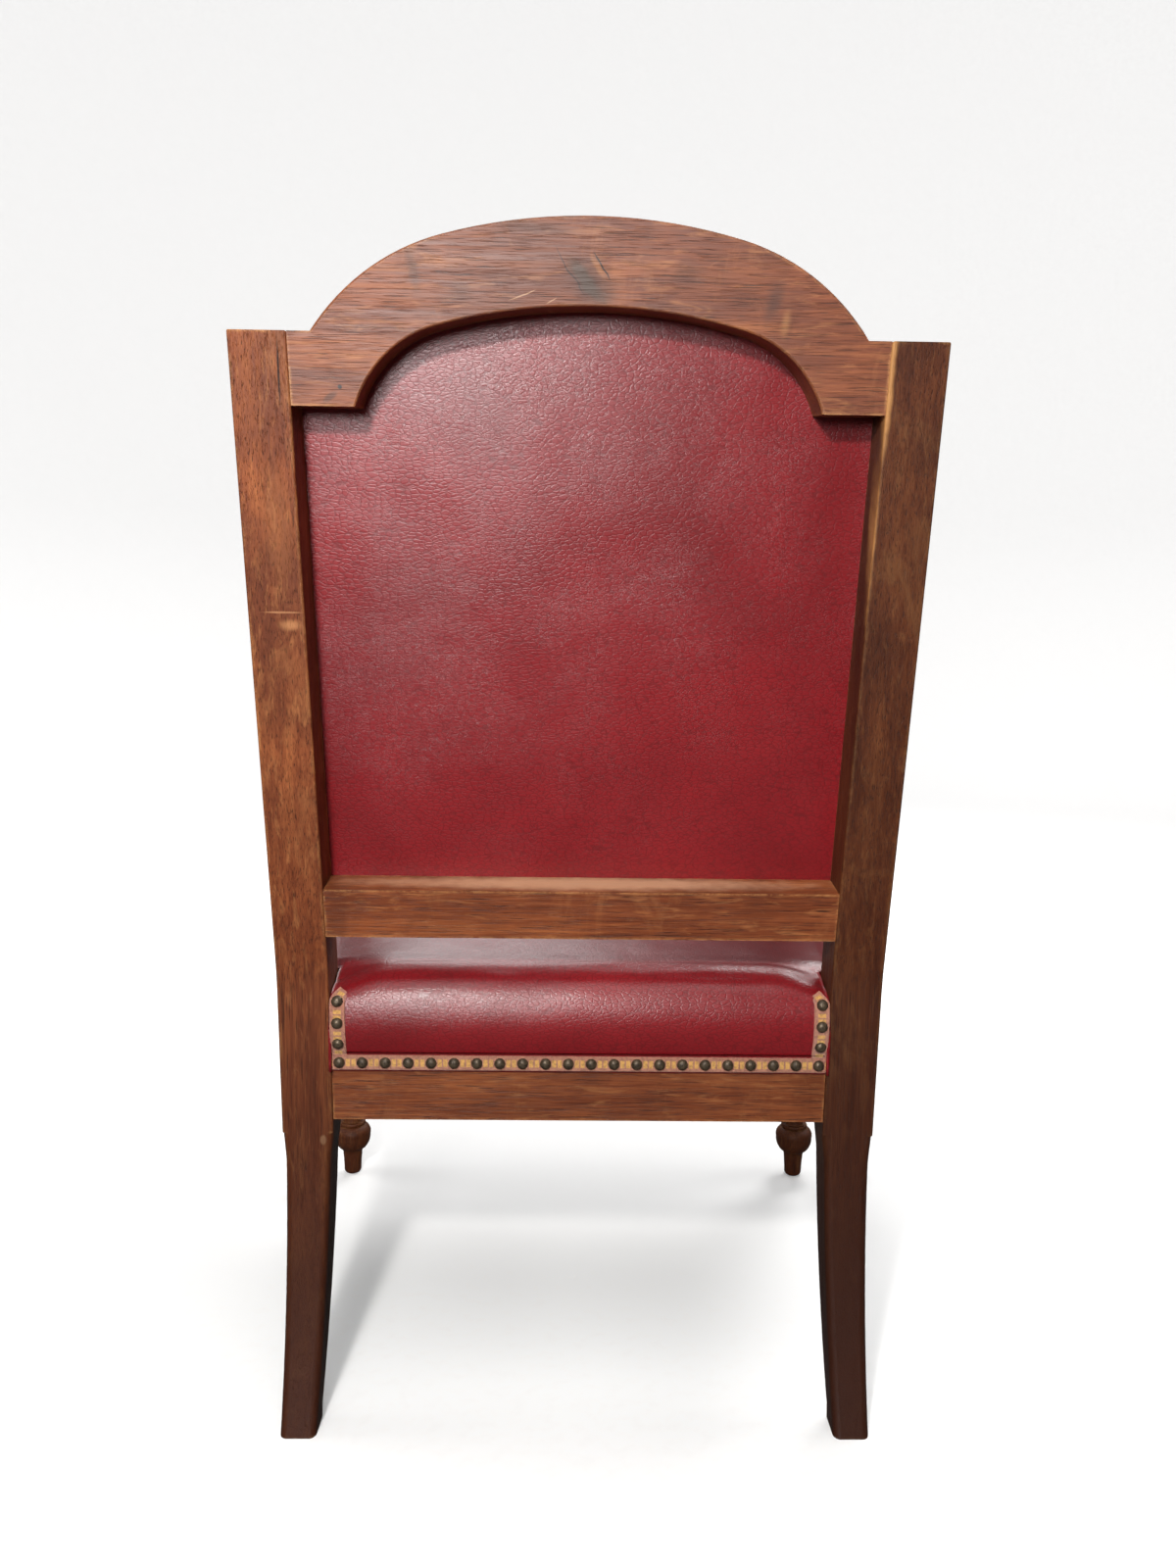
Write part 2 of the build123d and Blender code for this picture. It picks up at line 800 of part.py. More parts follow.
def web_places(count, gap):
    """Places of the strips, one under each line of springs and one between."""
    steps = 2 * count - 1
    return [(index - (steps - 1) / 2) * gap / 2 for index in range(steps)]


with BuildPart() as seat_webbing:
    for x in web_places(spring_columns, spring_gap_x):
        strip(x, at(seat_middle), web_width, web_reach, seat_rail_bottom)
    for y in web_places(spring_rows, spring_gap_y):
        forward = seat_middle - y
        reach = side_x(forward, web_lap - seat_rail_thickness)
        strip(0, at(forward), 2 * reach, web_width, seat_rail_bottom - web_thickness)

finish(seat_webbing.part, "seat_webbing")

# Waisted springs, each one wire on arcs of under a quarter turn

spring_foot = seat_rail_bottom + spring_wire
spring_rise = seat_rail_height + dome_rise - canvas - 2 * spring_wire - cloth_clearance


def spring_point(turn):
    """Point on the wire's middle line, and its direction, after a number of turns."""
    along = turn / spring_turns
    swing = 2 * along - 1
    radius = spring_waist + (spring_radius - spring_waist) * swing**2
    widening = 4 * (spring_radius - spring_waist) * swing / spring_turns
    angle = 2 * pi * turn
    point = Vector(radius * cos(angle), radius * sin(angle), spring_rise * along)
    direction = Vector(
        widening * cos(angle) - 2 * pi * radius * sin(angle),
        widening * sin(angle) + 2 * pi * radius * cos(angle),
        spring_rise / spring_turns,
    )
    return point, direction.normalized()


def biarc(start, start_way, end, end_way):
    """Two arcs that meet smoothly between two points with given directions."""
    chord = end - start
    ways = start_way + end_way
    spread = 2 * (1 - start_way.dot(end_way))
    pull = chord.dot(ways)
    length = (sqrt(pull**2 + spread * chord.dot(chord)) - pull) / spread
    first = start + start_way * length
    second = end - end_way * length
    joint = (first + second) * 0.5
    TangentArc(start, joint, tangent=start_way)
    TangentArc(joint, end, tangent=second - first)


with BuildPart() as spring:
    with BuildLine() as wire_line:
        for step in range(4 * spring_turns):
            biarc(*spring_point(step / 4), *spring_point((step + 1) / 4))
    with BuildSketch(Plane(origin=wire_line.line @ 0, z_dir=wire_line.line % 0)):
        Circle(spring_wire)
    sweep()

with BuildPart() as seat_springs:
    with Locations((0, at(seat_middle), spring_foot)):
        with GridLocations(spring_gap_x, spring_gap_y, spring_columns, spring_rows):
            add(spring.part)

finish(seat_springs.part, "seat_springs")
print("spring's least gap between turns", round(spring_rise / spring_turns - 2 * spring_wire, 2))

# Upholstered seat


def seat_form(inset, bottom):
    """Crowned pad with drawn-in sides, made smaller all round by inset."""
    edge = seat_rail_inset - leather + inset
    far = seat_depth - edge
    bulge_top = seat_ground + seat_bulge_height - inset
    bulge_mid = seat_ground + seat_bulge_height / 2
    roll_end = edge + seat_roll
    roll_top = seat_ground + seat_edge_height - inset
    side_top = seat_ground + seat_side_height - inset
    crown = side_top + seat_side_crown
    with BuildPart(mode=Mode.PRIVATE) as form:
        for forward in (-overrun, seat_depth + overrun):
            half = side_x(forward, leather - inset)
            with BuildSketch(Plane.XZ.offset(-at(forward))):
                with BuildLine():
                    for side in (-1, 1):
                        low = side * half
                        rise = Line((low, bottom), (low, seat_ground))
                        bulge = ThreePointArc(
                            rise @ 1, (low + side * seat_bulge, bulge_mid), (low, bulge_top)
                        )
                        TangentArc(bulge @ 1, (low - side * seat_roll, side_top), tangent=bulge % 1)
                    ThreePointArc((seat_roll - half, side_top), (0, crown), (half - seat_roll, side_top))
                    Line((-half, bottom), (half, bottom))
                make_face()
        loft(ruled=True)
        with BuildSketch(Plane.YZ):
            with BuildLine():
                for sign, end in ((1, at(edge)), (-1, at(far))):
                    rise = Line((end, bottom), (end, seat_ground))
                    bulge = ThreePointArc(
                        rise @ 1, (end + sign * seat_bulge, bulge_mid), (end, bulge_top)
                    )
                    TangentArc(bulge @ 1, (end - sign * seat_roll, roll_top), tangent=bulge % 1)
                ThreePointArc(
                    (at(roll_end), roll_top),
                    (at(seat_depth / 2), roll_top + seat_crown),
                    (at(far - seat_roll), roll_top),
                )
                Line((at(edge), bottom), (at(far), bottom))
            make_face()
        extrude(amount=2 * seat_front_half, both=True, mode=Mode.INTERSECT)
    return form.part


def seat_notches(margin, bottom):
    """Room for the four posts, with a margin, from a height upwards."""
    height = block_top + overrun - bottom
    width = block_size + margin + overrun
    with BuildPart(mode=Mode.PRIVATE) as left:
        with BuildSketch(inner_left.offset(-margin)):
            with Locations((at((post_depth + margin - overrun) / 2), bottom + height / 2)):
                Rectangle(post_depth + margin + overrun, height)
        extrude(amount=width)
        with Locations((leg_x - block_size / 2 - margin, leg_y + block_size / 2 + margin, bottom)):
            Box(width, width, height, align=(Align.MIN, Align.MAX, Align.MIN))
    with BuildPart(mode=Mode.PRIVATE) as notches:
        add(left.part)
        add(mirrored(left.part))
    return notches.part


def seat_dome(grow):
    """Canvas-covered rise of the springs, from the rails' tops to the plateau."""
    low_rear = rear_rail_face - grow
    low_front = front_rail_face + grow
    with BuildPart(mode=Mode.PRIVATE) as dome:
        for level, draw in ((seat_ground, 0), (seat_ground + dome_rise + grow, dome_inset)):
            near = low_rear + draw + post_depth - rear_rail_face
            far = low_front - draw - post_depth + rear_rail_face
            with BuildSketch(Plane.XY.offset(level)):
                near_x = side_x(near, grow - seat_rail_thickness) - draw
                far_x = side_x(far, grow - seat_rail_thickness) - draw
                Polygon(
                    (-near_x, at(near)), (near_x, at(near)), (far_x, at(far)), (-far_x, at(far)),
                    align=None,
                )
        loft(ruled=True)
    return dome.part


stuffing_margin = notch_clearance + leather + cloth_clearance

with BuildPart() as spring_canvas:
    with BuildSketch(Plane.XY.offset(seat_ground)):
        near = rear_rail_face - dome_lap
        far = front_rail_face + dome_lap
        near_x = side_x(near, dome_lap - seat_rail_thickness)
        far_x = side_x(far, dome_lap - seat_rail_thickness)
        Polygon((-near_x, at(near)), (near_x, at(near)), (far_x, at(far)), (-far_x, at(far)), align=None)
    extrude(amount=canvas)
    add(seat_dome(0))
    add(seat_dome(-canvas), mode=Mode.SUBTRACT)
    add(seat_notches(stuffing_margin, seat_rail_bottom), mode=Mode.SUBTRACT)

finish(spring_canvas.part, "spring_canvas")

with BuildPart() as seat_stuffing:
    add(seat_form(leather + cloth_clearance, seat_ground + canvas + cloth_clearance))
    add(seat_notches(stuffing_margin, seat_rail_bottom), mode=Mode.SUBTRACT)
    add(seat_dome(cloth_clearance), mode=Mode.SUBTRACT)

finish(seat_stuffing.part, "seat_stuffing")

with BuildPart() as seat_cover:
    add(seat_form(0, skirt_bottom))
    add(seat_notches(notch_clearance, seat_rail_bottom), mode=Mode.SUBTRACT)
    with BuildPart(mode=Mode.PRIVATE) as hollow:
        add(seat_form(leather, skirt_bottom - overrun))
        add(seat_notches(notch_clearance + leather, seat_ground), mode=Mode.SUBTRACT)
    add(hollow.part, mode=Mode.SUBTRACT)

finish(seat_cover.part, "seat_cover")

# Braid along the pad's lower edge and up both rear posts

braid_top = seat_ground - braid_margin
braid_low = braid_top - braid_width
braid_face = seat_rail_inset - leather - braid_thickness

with BuildPart() as seat_braid_rear:
    with Locations((0, at(seat_rail_inset - leather), braid_low)):
        Box(
            2 * outer_half(seat_ground),
            braid_thickness,
            braid_width,
            align=(Align.CENTER, Align.MIN, Align.MIN),
        )
    split(bisect_by=inner_left.offset(-notch_clearance), keep=Keep.BOTTOM)
    split(bisect_by=inner_right.offset(-notch_clearance), keep=Keep.BOTTOM)

finish(seat_braid_rear.part, "seat_braid_rear")

with BuildPart() as seat_braid_front:
    with Locations((0, at(seat_depth - seat_rail_inset + leather), braid_low)):
        Box(
            2 * (leg_x - block_size / 2 - notch_clearance),
            braid_thickness,
            braid_width,
            align=(Align.CENTER, Align.MAX, Align.MIN),
        )

finish(seat_braid_front.part, "seat_braid_front")

side_braid_rear = post_depth + notch_clearance
side_braid_front = seat_depth - block_size - notch_clearance

with BuildPart() as seat_braid_left:
    with BuildSketch(Plane.XY.offset(braid_low)):
        Polygon(
            (side_x(side_braid_rear, leather), at(side_braid_rear)),
            (side_x(side_braid_front, leather), at(side_braid_front)),
            (side_x(side_braid_front, leather + braid_thickness), at(side_braid_front)),
            (side_x(side_braid_rear, leather + braid_thickness), at(side_braid_rear)),
            align=None,
        )
    extrude(amount=braid_width)

finish(seat_braid_left.part, "seat_braid_left")
finish(mirrored(seat_braid_left.part), "seat_braid_right")

with BuildPart() as seat_riser_left:
    with BuildSketch(inner_left.offset(-notch_clearance)):
        with Locations((at(post_depth / 2), braid_top + riser_length / 2)):
            Rectangle(post_depth + 2 * overrun, riser_length)
    extrude(amount=-braid_width)
    riser_bounds = Plane.XZ.offset(-at(post_depth))
    split(bisect_by=riser_bounds, keep=Keep.BOTTOM)
    add(seat_form(-braid_thickness, braid_top), mode=Mode.INTERSECT)
    add(seat_form(0, skirt_bottom), mode=Mode.SUBTRACT)

finish(seat_riser_left.part, "seat_braid_riser_left")
finish(mirrored(seat_riser_left.part), "seat_braid_riser_right")

# Round-headed nails

with BuildPart() as nail:
    with BuildSketch(Plane.XZ):
        with BuildLine():
            dome = ThreePointArc(
                (0, nail_dome),
                (nail_radius * nail_bow_share, nail_dome * nail_bow_share),
                (nail_radius, 0),
            )
            Polyline(
                dome @ 1,
                (nail_shank_radius, 0),
                (nail_shank_radius, nail_shank_radius * 2 - nail_length),
                (0, -nail_length),
                dome @ 0,
            )
        make_face()
    revolve(axis=Axis.Z)


def nail_row(places):
    """One node of nails, each head standing on its own plane."""
    with BuildPart(mode=Mode.PRIVATE) as row:
        with Locations(*places):
            add(nail.part)
    return row.part


def spread(start, end):
    """Evenly spaced places from start to end, about one nail's pitch apart."""
    count = max(2, round((end - start) / nail_pitch) + 1)
    return [start + (end - start) * index / (count - 1) for index in range(count)]


nail_height = braid_low + braid_width / 2
rear_nail_half = inner_half(nail_height) - notch_clearance - braid_width / 2
rear_nails = [
    Plane(origin=(x, at(braid_face), nail_height), z_dir=(0, 1, 0))
    for x in spread(-rear_nail_half, rear_nail_half)
]
finish(nail_row(rear_nails), "seat_nails_rear")

front_nail_half = leg_x - block_size / 2 - notch_clearance - nail_radius
front_nails = [
    Plane(origin=(x, at(seat_depth - braid_face), nail_height), z_dir=(0, -1, 0))
    for x in spread(-front_nail_half, front_nail_half)
]
finish(nail_row(front_nails), "seat_nails_front")

side_nails = [
    Plane(
        origin=(side_x(forward, leather + braid_thickness), at(forward), nail_height),
        z_dir=side_into,
    )
    for forward in spread(side_braid_rear + nail_radius, side_braid_front - nail_radius)
]
side_nail_row = nail_row(side_nails)
finish(side_nail_row, "seat_nails_left")
finish(mirrored(side_nail_row), "seat_nails_right")


def riser_nails():
    """Places up the left riser, on the pad's bulging face."""
    edge = seat_rail_inset - leather - braid_thickness
    bulge_top = seat_ground + seat_bulge_height + braid_thickness
    bulge_mid = seat_ground + seat_bulge_height / 2
    with BuildLine(mode=Mode.PRIVATE):
        bulge = ThreePointArc(
            (at(edge), seat_ground), (at(edge) + seat_bulge, bulge_mid), (at(edge), bulge_top)
        )
    places = []
    for share in riser_nail_shares:
        spot = bulge @ share
        way = bulge % share
        x = inner_half(spot.Y) - notch_clearance - braid_width / 2
        places.append(Plane(origin=(x, spot.X, spot.Y), z_dir=(0, way.Y, -way.X)))
    return places


riser_nail_row = nail_row(riser_nails())
with BuildPart() as seat_nails_risers:
    add(riser_nail_row)
    add(mirrored(riser_nail_row))

finish(seat_nails_risers.part, "seat_nails_risers")

# Black cloth under the seat

cloth_top = seat_rail_bottom - 2 * web_thickness
cloth_low = cloth_top - canvas


def cloth_points(margin):
    """Corners of the cloth under the seat, inside the rails' outer faces by margin."""
    near = seat_rail_inset + margin
    far = seat_depth - near
    return [
        (-side_x(near, -margin), at(near)),
        (side_x(near, -margin), at(near)),
        (side_x(far, -margin), at(far)),
        (-side_x(far, -margin), at(far)),
    ]


with BuildPart() as bottom_cloth:
    with BuildSketch(Plane.XY.offset(cloth_low)):
        Polygon(*cloth_points(cloth_margin), align=None)
    extrude(amount=canvas)
    add(seat_notches(cloth_margin, cloth_low - overrun), mode=Mode.SUBTRACT)

finish(bottom_cloth.part, "bottom_cloth")

# Upholstered back: the outer leather, webbing, canvas, stuffing and the inner leather

panel_face = leather
web_face = panel_face + 2 * web_thickness
canvas_face = web_face + canvas
flange_face = canvas_face + leather

finish(back_slab(rebate_width - panel_margin, 0, leather), "outer_back_panel")


def back_web(upright, level):
    """Strips of webbing over the back, upright or level, cut to the rebate."""
    bottom = lower_rail_lift + lower_rail_height
    top = back_length - shoulder_height + hollow_rise
    reach = outer_half(bend_height + back_length)
    with BuildPart(mode=Mode.PRIVATE) as web:
        with BuildSketch(back_plane.offset(rebate_depth - post_depth - level)):
            if upright:
                with GridLocations(back_web_gap, 0, back_uprights, 1):
                    Rectangle(web_width, 2 * (back_length + arch_rise))
            else:
                with Locations((0, (bottom + top) / 2)):
                    with GridLocations(0, back_web_gap, 1, back_levels):
                        Rectangle(2 * reach, web_width)
            add(back_outline(rebate_width - 2 * panel_margin), mode=Mode.INTERSECT)
        extrude(amount=-web_thickness)
    return web.part


with BuildPart() as back_webbing:
    add(back_web(False, panel_face))
    add(back_web(True, panel_face + web_thickness))

finish(back_webbing.part, "back_webbing")
finish(back_slab(rebate_width - panel_margin, web_face, canvas), "back_canvas")


def back_form(inset):
    """Crowned back pad inside its flange, made smaller by inset."""
    with BuildPart(mode=Mode.PRIVATE) as form:
        for level_share, inset_share in zip(back_level_shares, back_inset_shares):
            level = canvas_face + (back_fullness - inset) * level_share
            draw = back_flange * inset_share + inset
            with BuildSketch(back_plane.offset(rebate_depth - post_depth - level)):
                add(back_outline(rebate_width - draw))
        loft()
    return form.part


with BuildPart() as inner_back_cover:
    add(back_slab(rebate_width - flange_margin, canvas_face, leather))
    add(back_form(0))
    add(back_form(leather), mode=Mode.SUBTRACT)

finish(inner_back_cover.part, "inner_back_cover")
finish(back_form(leather + cloth_clearance), "back_stuffing")

with BuildPart() as back_braid:
    add(back_slab(rebate_width - flange_margin, flange_face, braid_thickness))
    add(
        back_slab(rebate_width - flange_margin - braid_width, flange_face, braid_thickness),
        mode=Mode.SUBTRACT,
    )

finish(back_braid.part, "back_braid")

nail_line = back_outline(rebate_width - flange_margin - braid_width / 2)
nail_wire = nail_line.faces()[0].outer_wire()
back_nail_count = round(nail_wire.length / nail_pitch)
nail_level = flange_face + braid_thickness
back_nails = []
for index in range(back_nail_count):
    spot = nail_wire @ (index / back_nail_count)
    place = back_plane.offset(rebate_depth - post_depth - nail_level)
    back_nails.append(
        Plane(
            origin=place.from_local_coords((spot.X, spot.Y, 0)),
            z_dir=back_plane.z_dir * -1,
        )
    )
finish(nail_row(back_nails), "back_nails")
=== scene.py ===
from math import asin, atan2, cos, exp, hypot, log, pi, radians, sin, sqrt, tan

import bpy
from mathutils import Matrix, Vector, noise


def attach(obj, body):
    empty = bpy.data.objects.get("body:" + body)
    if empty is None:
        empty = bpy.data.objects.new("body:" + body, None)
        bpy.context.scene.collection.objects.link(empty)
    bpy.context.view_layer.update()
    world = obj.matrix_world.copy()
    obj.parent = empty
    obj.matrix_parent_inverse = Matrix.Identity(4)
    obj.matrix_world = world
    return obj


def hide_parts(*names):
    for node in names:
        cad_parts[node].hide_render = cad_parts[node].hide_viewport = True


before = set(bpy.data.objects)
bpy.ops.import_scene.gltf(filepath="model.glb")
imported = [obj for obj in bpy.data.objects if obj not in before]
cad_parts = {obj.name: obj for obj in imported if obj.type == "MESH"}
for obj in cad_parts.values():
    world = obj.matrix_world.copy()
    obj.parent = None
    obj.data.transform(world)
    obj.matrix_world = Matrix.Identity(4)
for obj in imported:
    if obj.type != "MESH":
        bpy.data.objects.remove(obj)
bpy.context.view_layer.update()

# Sizes of the frame, in millimetres

REAR_Y = 236.4935  # rear face of the posts below their bend
RAKE = radians(8)  # of the back
LEAN = radians(1.1)  # of each rear post, outwards
BEND = 440.0  # height at which the posts turn back
POST = 50.0
FOOT_HALF = 285.5  # half the width over the rear posts on the floor
BACK_LENGTH = 586.0  # of the posts above the bend
UNDER = BACK_LENGTH - 60.0  # underside of the crest rail beside the posts
ARCH_RISE = 83.2  # of the crest rail's underside
RAIL_TOP = 41.4 + 47.5  # of the lower back rail, from the bend
BACK_MIDDLE = (RAIL_TOP + UNDER + ARCH_RISE) / 2
BACK_GROUND = 44.0  # what the back's upholstery lies on, in front of the posts' rear
GROUND = 364.0  # top of the seat rails
DEPTH = 542.0  # of the seat frame
FRONT_HALF = 343.5  # half the width over the front legs
SETBACK = 3  # of the seat rails from the faces of the posts
LEATHER = 1.6  # thickness
FACE = SETBACK - LEATHER  # of the leather, from the faces of the posts
GAP = 0.5  # between the upholstery and the posts
NOTCH = 49.1  # side of the pad's cut corners

# Sizes of the seat pad's edge

SKIRT = 18.0  # below the ground
BULGE = 5  # of the side, outwards
BULGE_HALF = 27  # half the height of the bulging side
ROLL_RUN = 44  # from the side to the flat of the pad
SPRING_RISE = 35.3  # of the canvas over the springs
SPRING_SLOPE = 22  # over which the canvas comes down to the rails
RAIL_INSIDE = 28  # from the seat rails' outer faces to their inner ones

# Sizes of the braid

BRAID = 15.0
BRAID_THICK = 2.0
BRAID_MID = GROUND - 1.5 - BRAID / 2
NAIL_PITCH = 22.3
NAIL_MARGIN = 5.6  # from the end of a braid to its last nail
FLANGE_LEVEL = 6.8  # of the braid round the inner back
FLANGE_GROW = 10.5  # from the back's opening to the middle of that braid
RISER_PITCH = 20.5  # of the nails up the posts
RISER_FIRST = 11  # from the braid's lower end to its first nail
RISER_TURN = 54.0  # where the riser's top starts to fold inwards
RISER_TOP = 66.5
# Section of a braid, rounded at its edges, as (share of the width, share of the thickness)
BRAID_SECTION = (
    (-0.5, 0.0), (-0.5, 0.6), (-0.44, 0.95), (-0.36, 0.8), (-0.18, 0.92), (0, 1.0),
    (0.18, 0.92), (0.36, 0.8), (0.44, 0.95), (0.5, 0.6), (0.5, 0.0),
)


# Places on the frame

def outer_half(height):
    return FOOT_HALF + height * tan(LEAN)


def inner_half(height):
    return outer_half(height) - POST / cos(LEAN)


def back_half(slope):
    return inner_half(BEND + slope * cos(RAKE))


SIDE_REAR = outer_half(GROUND) - SETBACK
SIDE_FRONT = FRONT_HALF - SETBACK
SIDE_ANGLE = atan2(SIDE_FRONT - SIDE_REAR, DEPTH - 2 * POST)


def side_x(forward, outward):
    """Place across of a side rail's face, moved outwards."""
    return SIDE_REAR + (forward - POST) * tan(SIDE_ANGLE) + outward / cos(SIDE_ANGLE)


def at(forward):
    """Place in y of a distance in front of the posts' rear."""
    return REAR_Y - forward


def on_back(x, slope, level):
    """Point on the raked back, level in front of the upholstery's ground."""
    depth = BACK_GROUND + level
    y = REAR_Y + slope * sin(RAKE) - depth * cos(RAKE)
    z = BEND + slope * cos(RAKE) + depth * sin(RAKE)
    return (x, y, z)


def arc_points(centre, radius, start, end, count):
    return [
        (centre[0] + radius * sin(start + (end - start) * i / count),
         centre[1] + radius * cos(start + (end - start) * i / count))
        for i in range(count)
    ]


def line_points(a, b, count):
    return [
        (a[0] + (b[0] - a[0]) * i / count, a[1] + (b[1] - a[1]) * i / count)
        for i in range(count)
    ]


def outline(grow):
    """Closed outline of the back's opening, with the same number of points for any growth."""
    crown_radius, crown_half, half = 497.0, 130.0, 199.7
    turn = asin(crown_half / crown_radius)
    climb = ARCH_RISE - crown_radius * (1 - cos(turn))
    run = half - crown_half
    haunch = (run**2 + climb**2) / (2 * (climb * cos(turn) - run * sin(turn)))
    cx = crown_half - haunch * sin(turn)
    cy = UNDER + climb - haunch * cos(turn)
    foot_y = UNDER + grow
    foot_x = cx + sqrt((haunch + grow) ** 2 - (foot_y - cy) ** 2)
    foot_turn = atan2(foot_x - cx, foot_y - cy)
    bottom = RAIL_TOP - grow
    low = back_half(bottom) + grow / cos(LEAN)
    high = back_half(foot_y) + grow / cos(LEAN)
    right = line_points((0, bottom), (low, bottom), 36)
    right += line_points((low, bottom), (high, foot_y), 60)
    right += line_points((high, foot_y), (foot_x, foot_y), 8)
    right += arc_points((cx, cy), haunch + grow, foot_turn, turn, 20)
    right += arc_points((0, UNDER + ARCH_RISE - crown_radius), crown_radius + grow, turn, 0, 20)
    right.append((0, UNDER + ARCH_RISE + grow))
    return right + [(-x, y) for x, y in right[-2:0:-1]]


# Meshes

carrier = bpy.data.objects.new("upholstery", None)
bpy.context.collection.objects.link(carrier)
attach(carrier, "root")


def mesh(name, points, faces, uvs=None):
    """Smooth mesh object from points in millimetres."""
    data = bpy.data.meshes.new(name)
    data.from_pydata([[c / 1000 for c in p] for p in points], [], faces)
    if uvs:
        layer = data.uv_layers.new(name="length")
        for loop in data.loops:
            layer.data[loop.index].uv = uvs[loop.vertex_index]
    for face in data.polygons:
        face.use_smooth = True
    obj = bpy.data.objects.new(name, data)
    bpy.context.collection.objects.link(obj)
    return obj


def grid_faces(rows, columns, closed=False, base=0):
    """Faces between rows of points; the rows are rings where closed."""
    span = columns if closed else columns - 1
    return [
        (base + r * columns + c, base + r * columns + (c + 1) % columns,
         base + (r + 1) * columns + (c + 1) % columns, base + (r + 1) * columns + c)
        for r in range(rows - 1) for c in range(span)
    ]


def modifier(obj, kind, **values):
    item = obj.modifiers.new(kind.lower(), kind)
    for key, value in values.items():
        setattr(item, key, value)
    return item


def ride(obj, material, *nodes):
    """The piece takes the place of these nodes and wears a material."""
    obj.data.materials.append(material)
    obj.parent = carrier
    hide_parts(*nodes)
    return obj


def wobble(x, y, z, scale, seed):
    """Soft unevenness, about -1 to 1."""
    return noise.noise(Vector((x * scale + seed, y * scale, z * scale)))


# Profiles

def smooth_low(a, b, width):
    """The lower of two heights, with their meeting rounded."""
    low = min(a, b)
    return low - width * log(exp((low - a) / width) + exp((low - b) / width))


def roll_points(top):
    """A pad's edge from its skirt up the bulging side and over the roll: (inwards, up)."""
    points = [(0.0, -SKIRT), (0.0, -SKIRT / 2), (0.0, 0.0)]
    half_turn = 2 * atan2(BULGE, BULGE_HALF)
    radius = BULGE_HALF / sin(half_turn)
    for i in range(1, 9):
        turn = -half_turn + 2 * half_turn * i / 8
        points.append((radius * (cos(half_turn) - cos(turn)), BULGE_HALF + radius * sin(turn)))
    shoulder = 2 * BULGE_HALF
    rise = top - shoulder
    chord = hypot(ROLL_RUN, rise)
    lean = atan2(ROLL_RUN, rise)
    end = 2 * lean - half_turn
    radius = chord / (2 * sin((end - half_turn) / 2))
    for i in range(1, 11):
        turn = half_turn + (end - half_turn) * i / 10
        inwards = radius * (cos(half_turn) - cos(turn))
        points.append((inwards, shoulder + radius * (sin(turn) - sin(half_turn))))
    return points


def stations(top, crowned, middle):
    """Whole section of the pad: (share of the middle, inwards, up, side)."""
    edge = roll_points(top)
    edge.append((NOTCH, top + crowned * 0.05))
    near = [(0, d, z, -1) for d, z in edge]
    shares = [2 * i / middle - 1 for i in range(1, middle)]
    mid = [(share, NOTCH, top + crowned * (1 - share**2 * 0.95), 0) for share in shares]
    far = [(0, d, z, 1) for d, z in reversed(edge)]
    return near + mid + far, len(edge)


def seat_point(across, along, inset):
    """Point of the seat pad, from its two sections."""
    share, inwards, up, side = across
    share_y, inwards_y, up_y, side_y = along
    edge = FACE + inset
    if side_y < 0:
        forward = edge + inwards_y
    elif side_y > 0:
        forward = DEPTH - edge - inwards_y
    else:
        near = edge + NOTCH
        forward = near + (share_y + 1) / 2 * (DEPTH - 2 * near)
    if forward < edge + NOTCH:
        notch_x = inner_half(GROUND + 30) - GAP - inset
    elif forward > DEPTH - edge - NOTCH:
        notch_x = FRONT_HALF - POST - GAP - inset
    else:
        notch_x = side_x(forward, LEATHER - inset) - NOTCH + GAP / 2
    if side:
        x = side * (notch_x + NOTCH - inwards)
    else:
        x = share * notch_x
    z = smooth_low(up, up_y, 1.6) - inset
    return Vector((x, at(forward), GROUND + z))


def pad_droop(x, y, z):
    """How far the pad's rear corners are pulled down beside the posts."""
    deep, wide, run = 15, 52, 40
    full_to, start, climb = 26, 52, 26
    beside = max(0.0, 1 - (inner_half(GROUND + 60) - abs(x)) / wide)
    behind = max(0.0, 1 - max(0.0, REAR_Y - y - full_to) / run)
    high = max(0.0, min(1.0, (z - GROUND - start) / climb))
    return deep * beside**1.6 * behind * high


# Folds across the seat, as (distance from its edge, depth, reach, seed)
REAR_FOLDS = ((19, 1.5, 2.2, 3), (31, 1.8, 3.0, 8), (45, 1.2, 4.0, 15), (66, 0.8, 5.0, 22))
FRONT_FOLDS = ((24, 1.2, 3.0, 31), (48, 0.9, 4.5, 37))


def creases(point):
    """Depth of the shallow folds in the seat's leather."""
    x, y, z = point
    fold = 0.0
    forward = REAR_Y - y
    for place, amount, reach, seed in REAR_FOLDS:
        line = place + 7 * wobble(x, 0, 0, 0.006, seed) + 2 * wobble(x, 0, 0, 0.03, seed)
        strength = max(0.0, 0.55 + 1.3 * wobble(x, 0, 0, 0.011, seed + 40))
        fold += amount * strength * exp(-(((forward - line) / reach) ** 2))
    for place, amount, reach, seed in FRONT_FOLDS:
        line = DEPTH - place + 8 * wobble(x, 0, 0, 0.007, seed)
        strength = max(0.0, 0.4 + 1.2 * wobble(x, 0, 0, 0.012, seed + 40))
        fold += amount * strength * exp(-(((forward - line) / reach) ** 2))
    fold += 0.9 * wobble(x, y, z, 0.02, 5) + 0.35 * wobble(x, y * 2.5, z * 2.5, 0.05, 9)
    return fold


